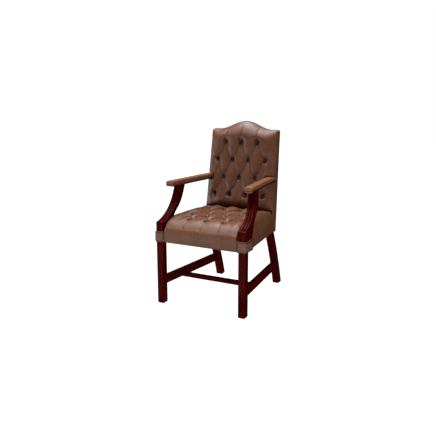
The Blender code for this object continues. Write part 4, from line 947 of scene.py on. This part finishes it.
points, facing = points_of(seat), points_of(seat, "normal")
drawn, keep = seat_field(points)[:2]
u, v, z = axes(points)
near_support = ramp(np.abs(u), 0.212, 0.229) * (1 - ramp(v, 0.10, 0.15))
outer = ramp(z, SEAT_BOTTOM, SEAT_BOTTOM + 0.012) * (1 - ramp(v, 0.485, 0.50))
pull = SEAT_DEPTH * drawn[0] * keep * outer * (1 - 0.85 * near_support)
up = np.array([0.0, 0.0, 1.0])
level = ramp(z, SEAT_EDGE_Z - 0.036, SEAT_EDGE_Z - 0.010)[:, None]
inward = up * level + facing * (1 - level)
points += up * seat_crown(points)[:, None] - inward * pull[:, None]
move_points(seat, points)
puff_up(seat, held_down(drawn, 1 - ramp(points[:, 2], 0.376, 0.40), ramp(v, 0.44, 0.48), near_support))

# %% Fine seat: one subdivision, sharp creases along the pleats, then the frame's pocket
GATHER_AWAY, GATHER_WIDTH, GATHER_COUNT = 0.017, 0.008, 10
FOLD_CREASE, PLEAT_CREASE, LIP_RISE, CREASE_WIDTH = 0.0014, 0.0026, 0.0016, 0.0032


def crease(piece, field, rows, upward, gathers):
    """Subdivides a cushion, presses lines along its pleats, lifts the lips and gathers the leather.

    The axis upward, 1 or 2, is the one that points from a button to the gathers above it.
    """
    apply(piece, "SUBSURF", levels=1, render_levels=1)
    points, facing = points_of(piece), points_of(piece, "normal")
    (_, folds, pleats, lip), keep, line_keep = field(points)
    edge = ramp(points[:, 2], SEAT_BOTTOM + 0.002, SEAT_BOTTOM + 0.02)
    keep, line_keep = keep * edge, line_keep * edge
    depth = FOLD_CREASE * bell(folds, CREASE_WIDTH) * keep - LIP_RISE * lip * keep
    depth += PLEAT_CREASE * bell(pleats, 0.0028) * line_keep
    for v, us in rows:
        for u in us:
            a, b = points[:, 0] - u, axes(points)[upward] - v
            radius, angle = np.hypot(a, b), np.arctan2(a, b)
            near = bell(radius - GATHER_AWAY, GATHER_WIDTH) * (0.5 + 0.5 * np.cos(angle)) ** 1.5
            depth -= gathers * near * np.cos(GATHER_COUNT * angle) * keep
    move_points(piece, points - facing * depth[:, None])


def painted_fold_shade(drawn, keep, line_keep):
    """Painted shade: dark deep in the pits, and along the thin lines of the pleats."""
    share, folds, pleats = drawn[:3]
    lines = 0.25 * bell(folds, 0.003) * keep + 0.40 * bell(pleats, 0.0026) * line_keep
    return ramp(share, 0.72, 0.96) * 0.92 * keep + lines


crease(seat, seat_field, seat_rows, 1, 0.0018)
POCKET_TOP, SEAT_WALL = RAIL_TOP + 0.0026, 0.010
pocket = loft("pocket_cutter", [seat_ring(SEAT_WALL, z, -0.02) for z in (0.30, POCKET_TOP)])
carve_out(seat, pocket, *seat_cutters(FINE_ROOM), solver="MANIFOLD")
# Painted shade in the seat's pits and along its pleat lines, kept in its points for the finish.
store(seat, "painted_shade", painted_fold_shade(*seat_field(points_of(seat))))
settle(smooth(seat, 60), LIT_SEAT_HIDE, "brown_leather", "seat_cushion", fill=0.8)

# %% [markdown]
# ## The back
# The back is padded and buttoned in the same way, on a leaning frame with a humped top. It is drawn
# upright, because the rows are level there, and leaned at the end. Its sides are thin at the top and
# thicker at the arms, the top edge rolls over to the rear, and a skirt goes down behind the seat.

# %% Back block
SHOULDER_Z, HUMP, HUMP_HALF, BACK_HALF, PANEL_REAR = 0.994, 0.0495, 0.185, 0.2333, 0.5733
BACK_PAD_BOTTOM, BACK_SKIRT_BOTTOM, BACK_CORNER, BACK_ROLL = 0.513, 0.370, 0.010, 0.008
TOP_ROLL, REAR_DROP, SIDE_LOW, SIDE_HIGH = 0.016, 0.003, 0.037, 0.0095


def outline_top(x, inset=0.0):
    """The humped top edge, drawn in by inset."""
    share = np.minimum(1.0, np.abs(x) / HUMP_HALF)
    return SHOULDER_Z + HUMP * (1 + np.cos(np.pi * share)) / 2 - inset


def near_top(x, z):
    """1 at the humped top edge, 0 well below it."""
    return ramp(z, outline_top(x) - 0.035, outline_top(x) - 0.006)


def back_face(z):
    """Where the front edge of the back's side is, forward of the uprights."""
    share = np.clip((z - BACK_PAD_BOTTOM) / (SHOULDER_Z - BACK_PAD_BOTTOM), 0, 1)
    return UPRIGHT_FRONT - (SIDE_LOW - (SIDE_LOW - SIDE_HIGH) * share)


def back_outline(inset, bottom):
    """(x, z) from the left foot of the cover over the hump to the right foot, with round shoulders."""
    half, turn, top = BACK_HALF - inset, max(0.004, BACK_CORNER - inset), SHOULDER_Z - inset
    right = [(half, z) for z in spread(bottom, top - turn, 9)]
    right += [(half - turn * (1 - c), top - turn * (1 - s)) for c, s in quarter(6)[1:]]
    start = half - turn
    right += [(x, float(outline_top(x, inset))) for x in (start * (1 - i / 16) for i in range(1, 16))]
    return [(-x, z) for x, z in right] + [(0.0, float(outline_top(0.0, inset)))] + right[::-1]


def lean(points):
    """Rakes and narrows upright points by their height above the seat rails."""
    rise = points[:, 2] - RAIL_TOP
    points = points.copy()
    points[:, 0] *= 1 - TAPER * rise
    points[:, 1] += RAKE * rise
    return points


def back_ring(inset, forward):
    """The outline at a place between the rear and the front face."""
    return [(x, forward(z), z) for x, z in back_outline(inset, BACK_SKIRT_BOTTOM + inset)]


rings = [back_ring(0.004, lambda z: PANEL_REAR), back_ring(0.0004, lambda z: PANEL_REAR - 0.004)]
for c, s in quarter(7):
    depth = BACK_ROLL * (1 - s)
    rings.append(back_ring(BACK_ROLL * (1 - c), lambda z: float(back_face(z)) + depth))
back = loft("buttoned_back", rings)
print("back block:", len(back.data.polygons), "faces")


# %% Room for the seat and the arms in the back
ARM_WIDTH, ARM_FRONT_Y, ARM_FRONT_HALF, ARM_REAR_HALF = 0.049, 0.100, 0.274, 0.2292


def arm_outer(y):
    """Half of the distance between the two arms' outer edges."""
    return ARM_FRONT_HALF + (ARM_REAR_HALF - ARM_FRONT_HALF) * (y - ARM_FRONT_Y) / (
        UPRIGHT_FRONT - ARM_FRONT_Y)


def arm_notch(side, margin):
    """The room that an arm takes in the back, in leaned coordinates."""
    outer, inner = margin + 0.004, -ARM_WIDTH - 0.002 - margin
    corners = ((0.40, outer), (0.60, outer), (0.60, inner), (0.40, inner))
    plan = [(side * (arm_outer(y) + away), y) for y, away in corners]
    return slab("arm_room", plan, ARM_BOTTOM - margin, ARM_TOP + margin)


def upright_lean(piece, back_again=False):
    """Leans a piece, or stands a leaned one upright again."""
    points = points_of(piece)
    points[:, 1] -= FRONT
    if back_again:
        rise = points[:, 2] - RAIL_TOP
        points[:, 0] /= 1 - TAPER * rise
        points[:, 1] -= RAKE * rise
    else:
        points = lean(points)
    points[:, 1] += FRONT
    move_points(piece, points)
    return piece


def front_of(piece, y):
    """Keeps only what is in front of an upright plane."""
    return carve_out(piece, box("behind", (-0.5, y, 0.2), (0.5, 0.9, 1.2)))


def back_cutters(margin):
    """Upright cutters for the seat's room and both arms."""
    right = [ASIDE, *spread(0.225, 0.15, 6)]
    foot = [(-ASIDE, 0.30), (ASIDE, 0.30)]
    foot += [(x, BACK_PAD_BOTTOM + margin - 0.012 * float(ramp(abs(x), 0.15, 0.23)))
             for x in right + [0.0] + [-x for x in right[::-1]]]
    room = through("seat_room", foot, 0.2, SEAT_REAR_Y + margin)
    arms = [front_of(upright_lean(arm_notch(side, margin), True), UPRIGHT_FRONT - GAP) for side in (-1, 1)]
    return [room, *arms]


def roll_over(points):
    """How far the top edge drops: a round roll at the front, and a slope to the rear."""
    u, y, v = axes(points)
    inside = np.clip(y - back_face(v), 0, 0.06)
    short = np.maximum(0, TOP_ROLL - inside)
    drop = TOP_ROLL - np.sqrt(TOP_ROLL ** 2 - short ** 2) + REAR_DROP * ramp(inside, 0.018, 0.045)
    return drop * near_top(u, v)


even_out(carve_out(back, *back_cutters(ROUGH_ROOM)), 2)
points = points_of(back)
points[:, 2] -= roll_over(points)
move_points(back, points)
print("back points:", len(back.data.vertices))

# %% Back crown, buttoning and pleats
BACK_DEPTH, BACK_CROWN, TOP_ROW, BACK_PITCH, BACK_STEP = 0.038, 0.054, 0.912, 0.110, 0.1075
BACK_EDGE, FOOT_RUN = 0.030, 0.072
back_rows = button_rows(TOP_ROW, -BACK_STEP, BACK_PITCH)
back_lines = pleat_lines(back_rows, SHOULDER_Z + 0.03, BACK_PAD_BOTTOM - 0.01, BACK_HALF)


def face_on(y, v, start, end):
    """1 on the back's front face, 0 further round its edge, from start to end behind that face."""
    return 1 - ramp(y, back_face(v) + start, back_face(v) + end)


def back_field(points):
    """As seat_field, in the back's own upright plane."""
    u, y, v = axes(points)
    drawn = drawn_in(u, v, back_rows, back_lines, rounded)
    room = np.clip(2 * (BACK_HALF - np.abs(u)) / BACK_PITCH, 0.35, 1)
    below = ramp(v, BACK_PAD_BOTTOM - 0.004, BACK_PAD_BOTTOM + 0.03)
    keep = (0.06 + 0.94 * face_on(y, v, 0.0, BACK_EDGE)) * below
    return drawn, keep * room, 0.55 * keep * (1 - 0.2 * ramp(np.abs(u), 0.17, 0.20))


def back_rise(points):
    """How much the stuffing stands forward of the block."""
    u, y, v = axes(points)
    across = 1 - np.clip(np.abs(u) / (BACK_HALF - 0.003), 0, 1) ** 4
    top = outline_top(u, 0.003)
    above = np.clip((top - v) / (top - TOP_ROW), 0, 1)
    below = np.clip((v - BACK_PAD_BOTTOM) / FOOT_RUN, 0, 1)
    rise = (1 - (1 - above) ** 3) * (1 - (1 - below) ** 2.6)
    return BACK_CROWN * across * rise * face_on(y, v, 0.0, BACK_EDGE), rise


points, facing = points_of(back), points_of(back, "normal")
drawn, keep = back_field(points)[:2]
swell, rise = back_rise(points)
u, y, v = axes(points)
forth = np.array([0.0, -1.0, 0.0])
flat = face_on(y, v, 0.004, 0.016)[:, None]
inward = forth * flat + facing * (1 - flat)
near_arm = ramp(np.abs(u), 0.165, 0.178) * ramp(v, 0.66, 0.68) * (1 - ramp(v, 0.725, 0.745))
pull = BACK_DEPTH * drawn[0] * keep * np.maximum(rise, 0.30) * (1 - 0.8 * near_arm)
points += forth * swell[:, None] - inward * pull[:, None]
move_points(back, points)
puff_up(back, held_down(drawn, ramp(y, UPRIGHT_FRONT - 0.012, UPRIGHT_FRONT),
                        1 - ramp(points[:, 2], 0.505, 0.53), near_arm))

# %% Fine back: subdivision, creases, the hollow for the frame, and the lean
crease(back, back_field, back_rows, 2, 0.0009)
LEATHER = 0.005
inner = back_outline(LEATHER, BACK_SKIRT_BOTTOM - 0.03)
hollow = through("hollow_cutter", inner, UPRIGHT_FRONT - 0.0026, 0.70)
half = BACK_HALF - LEATHER
legroom = box("legroom_cutter", (-half, 0.1, 0.3), (half, 0.9, BACK_PAD_BOTTOM))
carve_out(back, hollow, legroom, *back_cutters(FINE_ROOM), solver="MANIFOLD")
# Painted shade in the back's pits and along its pleat lines, kept in its points for the finish.
store(back, "painted_shade", painted_fold_shade(*back_field(points_of(back))))
upright_lean(back)
settle(smooth(back, 60), HIDE, "brown_leather", "back_cushion", fill=0.75)

# %% [markdown]
# ## Buttons
# A button is a tin shell with leather pressed over it, domed like a cap. One is made from a sphere,
# flattened and cut at its base. Copies are dropped on the bottom of each pit, found by shooting a ray
# at the finished cushion, so that none floats and none drowns. Each row is then one piece.

# %% One button
BUTTON_RADIUS, BUTTON_HEIGHT, BUTTON_LIFT = 0.0088, 0.0062, 0.0030


def dome(name, radius, height, base, segments, rings, angle):
    """A flattened ball, cut flat at its base."""
    fresh()
    bpy.ops.mesh.primitive_uv_sphere_add(segments=segments, ring_count=rings, radius=radius)
    made = bpy.context.object
    made.name = name
    flat = {"plane_co": (0, 0, base), "plane_no": (0, 0, -1), "clear_outer": True, "use_fill": True}
    edit_all(made, (bpy.ops.transform.resize, {"value": (1, 1, height / radius)}),
             (bpy.ops.mesh.bisect, flat))
    return smooth(made, angle)


button = dome("covered_button", BUTTON_RADIUS, BUTTON_HEIGHT, -0.003, 18, 12, 50)
print("button faces:", len(button.data.polygons))


# %% Copies of one model, joined into one piece
def strew(model, name, places):
    """Copies of a model at (point, way up) places, joined into one piece."""
    fresh()
    for spot, axis in places:
        turn = Vector(axis).to_track_quat("Z", "Y").to_matrix().to_4x4()
        duplicate(model).matrix_world = Matrix.Translation(spot) @ turn
    bpy.ops.object.join()
    bpy.ops.object.transform_apply(location=True, rotation=True, scale=True)
    made = bpy.context.object
    made.name = made.data.name = name
    return made


def seat_button(u, v):
    spot = seat.ray_cast(Vector((u, v + FRONT, 0.7)), Vector((0, 0, -1)))[1]
    return spot + Vector((0, 0, BUTTON_LIFT)), (0, 0, 1)


lean_forward = Vector((0, -1, RAKE)).normalized()


def back_button(u, v):
    rise = v - RAIL_TOP
    start = Vector((u * (1 - TAPER * rise), 0.25 + RAKE * rise + FRONT, v))
    spot = back.ray_cast(start, Vector((0, 1, 0)))[1]
    return spot + lean_forward * BUTTON_LIFT, lean_forward


for label, rows, place in (("seat", seat_rows, seat_button), ("back", back_rows, back_button)):
    for k, (v, us) in enumerate(rows, 1):
        row = strew(button, "%s_button_row_%d" % (label, k), [place(u, v) for u in us])
        settle(row, SHADED_BUTTON_HIDE, "brown_leather", "%s_buttons_%d" % (label, k), fill=0.95)
discard(button)

# %% [markdown]
# ## Arms
# Each arm is a flat rail with a thin pad of leather drawn tightly over it: a slightly crowned top, crisp
# edges, and a front end that turns down. It is lofted through sections that are closest at the front
# end, pressure fills it a little, and the rail's room is cut out from below.

# %% Arm pads
ARM_CROWN, ARM_COVER, ARM_EDGE = 0.0024, 0.003, 0.0022
ARM_END = ((0.0, 0.0018, 0.0014), (0.0005, 0.0007, 0.0005), (0.0014, 0.0, 0.0), (0.0040, 0.0, 0.0),
           (0.0085, 0.0, 0.0), (0.0105, 0.0012, 0.0002), (0.0125, 0.0, 0.0), (0.0160, -0.0004, 0.0))
RAIL_FRONT, RAIL_ROOM, ARM_PAD_START, ARM_PAD_LENGTH, ARM_FILL = 0.1033, 0.0163, 0.13, 0.46, 0.0012


def arm_ring(y, drop, narrow):
    """A section of the pad: straight sides, round top edges and a low crown."""
    middle, half = arm_outer(y) - ARM_WIDTH / 2, ARM_WIDTH / 2 - narrow
    top = ARM_TOP - ARM_CROWN - drop
    side = [(half, ARM_BOTTOM), (half, ARM_BOTTOM + 0.010), (half, top - 2 * ARM_EDGE)]
    side += [(half - ARM_EDGE * (1 - c), top - ARM_EDGE * (1 - s)) for c, s in quarter(5)]
    side += [(half * share, top + ARM_CROWN * (1 - (share / 0.85) ** 2)) for share in (0.7, 0.4, 0.15)]
    return [(middle - x, y, z) for x, z in side] + [(middle + x, y, z) for x, z in side[::-1]]


rings = [arm_ring(ARM_FRONT_Y + y, drop, narrow) for y, drop, narrow in ARM_END]
rings += [arm_ring(ARM_PAD_START + ARM_PAD_LENGTH * i / 20, -0.0004, 0.0) for i in range(21)]
arm = loft("leather_arm_right", rings)
_, y, z = axes(points_of(arm))
still = np.maximum.reduce([1 - ramp(z, ARM_BOTTOM + 0.012, ARM_BOTTOM + 0.024),
                           ramp(y, 0.50, 0.52), 1 - ramp(y, 0.104, 0.12)])
puff_up(arm, still, ARM_FILL)
apply(arm, "SUBSURF", levels=1, render_levels=1)
near, far = ARM_COVER, ARM_WIDTH - ARM_COVER
corners = ((RAIL_FRONT, near), (0.70, near), (0.70, far), (RAIL_FRONT, far))
plan = [(arm_outer(y) - inset, y) for y, inset in corners]
rail_room = slab("rail_room", plan, 0.65, ARM_BOTTOM + RAIL_ROOM)
wall = upright_lean(box("behind_arm", (0.0, UPRIGHT_FRONT - GAP, 0.6), (0.5, 0.9, 0.8)))
carve_out(arm, rail_room, wall, solver="MANIFOLD")
settle_pair(smooth(arm, 50), LIT_ARM_HIDE, "brown_leather", "arm_pad", fill=0.85)

# %% [markdown]
# ## Corner patches, outside back and dust cover
# Where the seat's cover is cut round the front legs, a patch of leather hides the raw edges. It is an
# L in plan, so one outline is raised and eased. The outside back is a flat panel with a little stuffing,
# and black cambric is tacked under the seat, where it sags by a few millimetres.

# %% Corner patch
PATCH_LOW, PATCH_HIGH, PATCH_SWELL = 0.375, RAIL_TOP, 0.0012
LEG_SIDE = FRONT_HALF + GAP


def patch_ring(swell):
    """The L round a leg's outer corner, its outside a little fuller halfway up."""
    x, y, inner = PATCH_OUTER + swell, -GAP - PATCH_THICK - swell, PATCH_OUTER - PATCH_FRONT
    corner = [(x - 0.006, y), (x - 0.0018, y + 0.0006), (x - 0.0006, y + 0.0018), (x, y + 0.006)]
    return [(inner, -GAP - PATCH_THICK), (PATCH_OUTER - PATCH_FRONT / 2, y), *corner, (x, PATCH_SIDE / 2),
            (PATCH_OUTER, PATCH_SIDE), (LEG_SIDE, PATCH_SIDE), (LEG_SIDE, -GAP), (inner, -GAP)]


rings = [[(x, y, z) for x, y in patch_ring(PATCH_SWELL * math.sin(math.pi * i / 8))]
         for i, z in enumerate(spread(PATCH_LOW, PATCH_HIGH, 9))]
patch = ease(loft("corner_hide_right", rings), 0.0012, 2, 50)
settle_pair(smooth(patch, 45), PATCH_HIDE, "brown_leather", "corner_patch", fill=0.9)

# %% Outside back panel
PANEL_SWELL = ((0.0003, 0.0045), (0.002, 0.0066), (0.010, 0.0074), (0.040, 0.0088), (0.090, 0.0100))
rings = [[(x, UPRIGHT_REAR + GAP, z) for x, z in back_outline(LEATHER + GAP, BACK_SKIRT_BOTTOM)]]
for inset, rear in PANEL_SWELL:
    outline = back_outline(LEATHER + GAP + inset, BACK_SKIRT_BOTTOM + inset)
    rings.append([(x, UPRIGHT_REAR + GAP + rear, z) for x, z in outline])
panel = upright_lean(loft("outside_back", rings))
settle(smooth(panel, 45), HIDE, "brown_leather", "outside_back_panel", fill=0.5)

# %% Dust cover
COVER_Z, COVER_SAG, COVER_THICK, COVER_GAP, COLUMNS = 0.3773, 0.0030, 0.0006, 0.0006, 25
COVER_FRONT, COVER_REAR, COVER_FRONT_HALF, COVER_INSET = 0.0063, 0.542, 0.2304, 0.0106
PATCH_EDGE, LEG_FACE = PATCH_SIDE + COVER_GAP, leg_front_edge(0.377) - COVER_GAP


def cover_half(y):
    """Half of the cambric's width, cut away at the front patches and the rear legs."""
    if y < PATCH_EDGE:
        return COVER_FRONT_HALF
    return seat_half(y) - COVER_INSET if y < LEG_FACE else REAR_HALF - REAR_LEG_WIDTH - COVER_GAP


ys = spread(COVER_FRONT, PATCH_EDGE - 0.0001, 6) + spread(PATCH_EDGE, LEG_FACE - 0.0001, 20)
ys += spread(LEG_FACE, COVER_REAR, 4)
halves = [cover_half(y) for y in ys]
fresh()
bpy.ops.mesh.primitive_grid_add(x_subdivisions=COLUMNS - 1, y_subdivisions=len(ys) - 1, size=2)
cover = bpy.context.object
cover.name = cover.data.name = "cambric_cover"
points = points_of(cover)
for k, (x, y, _) in enumerate(points):
    row = round((y + 1) / 2 * (len(ys) - 1))
    along = (ys[row] - COVER_FRONT) / (COVER_REAR - COVER_FRONT)
    sag = COVER_SAG * (1 - x * x) * math.sin(math.pi * along)
    points[k] = (x * halves[row], ys[row] + FRONT, COVER_Z - sag)
move_points(cover, points)
apply(cover, "SOLIDIFY", thickness=COVER_THICK, offset=0)
settle(smooth(cover, 50), CAMBRIC, "black_cambric", "seat_dust_cover")

# %% [markdown]
# ## Nails
# Rows of domed nails hold the leather's edges: along both arms, round the corner patches, and from foot
# to foot round the back. One head is made from a sphere with few faces, because there are hundreds. The
# rows follow the same outlines as the leather, one nail after another, each facing straight out.

# %% One nail head
NAIL_RADIUS, NAIL_HEIGHT, NAIL_PITCH, SKIN = 0.0043, 0.0030, 0.0120, 0.0004
nail = dome("domed_nail", NAIL_RADIUS, NAIL_HEIGHT, -0.0001, 8, 6, 60)
# Each nail's crown is painted paler: wear, and a painted highlight.
store(nail, "worn_and_highlit", ramp(points_of(nail)[:, 2], 0.8 * NAIL_HEIGHT, NAIL_HEIGHT))
print("nail head faces:", len(nail.data.polygons))


# %% Places along a line, a pitch apart
def along_line(path):
    """Even places along corners in order, with the segment that each one lies on."""
    path = [Vector(p) for p in path]
    lengths = [(b - a).length for a, b in zip(path, path[1:])]
    total = sum(lengths)
    count = max(1, round(total / NAIL_PITCH))
    step, found, k, gone = total / count, [], 0, 0.0
    for i in range(count + 1):
        want = min(i * step, total - 1e-9)
        while want > gone + lengths[k]:
            gone += lengths[k]
            k += 1
        found.append((path[k].lerp(path[k + 1], (want - gone) / lengths[k]), path[k + 1] - path[k]))
    return found


def nails_on(path, outward):
    """Nail places on a line, each facing outward and just proud of the leather."""
    axis = Vector(outward).normalized()
    return [(spot + Vector((0, FRONT, 0)) + axis * SKIN, axis) for spot, _ in along_line(path)]


# %% Nails on the arms
NAIL_LINE, NAIL_INSET = ARM_BOTTOM + 0.0105, 0.006
rear_y = UPRIGHT_FRONT + RAKE * (NAIL_LINE - RAIL_TOP) - NAIL_INSET
front_y = ARM_FRONT_Y + NAIL_INSET


def arm_edge(y, inset):
    return (arm_outer(y) - inset, y, NAIL_LINE)


placed = nails_on([arm_edge(rear_y, 0), arm_edge(front_y, 0)], (1, 0.10, 0))
placed += nails_on([arm_edge(ARM_FRONT_Y, NAIL_INSET), arm_edge(ARM_FRONT_Y, ARM_WIDTH - NAIL_INSET)],
                   (0, -1, 0))
placed += nails_on([arm_edge(front_y, ARM_WIDTH), arm_edge(rear_y, ARM_WIDTH)], (-1, -0.10, 0))
settle_pair(strew(nail, "arm_nails_right", placed), BRASS, "antique_brass", "arm_studs")

# %% Nails round a corner patch
EDGE, TURN_Y = 0.0048, 0.002
low_z, high_z, rear_end = PATCH_LOW + EDGE, PATCH_HIGH - EDGE, PATCH_SIDE - EDGE
front_y, inner_x = -GAP - PATCH_THICK, PATCH_OUTER - PATCH_FRONT + EDGE
turn_x = PATCH_OUTER - NAIL_INSET


def three_sides(near, far):
    """Along the top from near to far, down, and back along the bottom."""
    return [(*near, high_z), (*far, high_z), (*far, low_z), (*near, low_z)]


front_path = three_sides((turn_x, front_y), (inner_x, front_y))
side_path = three_sides((PATCH_OUTER, TURN_Y), (PATCH_OUTER, rear_end))
placed = []
for path, outward in ((front_path, (0, -1, 0)), (side_path, (1, 0, 0))):
    for k, (a, b) in enumerate(zip(path, path[1:])):
        row = nails_on([a, b], outward)
        placed += row[1:] if k else row
settle_pair(strew(nail, "patch_nails_right", placed), BRASS, "antique_brass", "patch_studs")

# %% Nails round the back
nail_y = PANEL_REAR - 0.0165
path = [(x, nail_y, z - 0.65 * REAR_DROP * float(near_top(x, z)))
        for x, z in back_outline(-0.0002, BACK_SKIRT_BOTTOM + NAIL_INSET)]
placed = []
for spot, way in along_line(path):
    outward = Vector((-way.z, 0, way.x)).normalized()
    both = lean(np.array([spot, spot + outward * 0.01]))
    start, end = Vector(both[0]), Vector(both[1])
    placed.append((start + Vector((0, FRONT, 0)), (end - start).normalized()))
settle(strew(nail, "back_nails", placed), BRASS, "antique_brass", "back_studs")
discard(nail, joinery)
print("nails:", len(placed), "round the back")
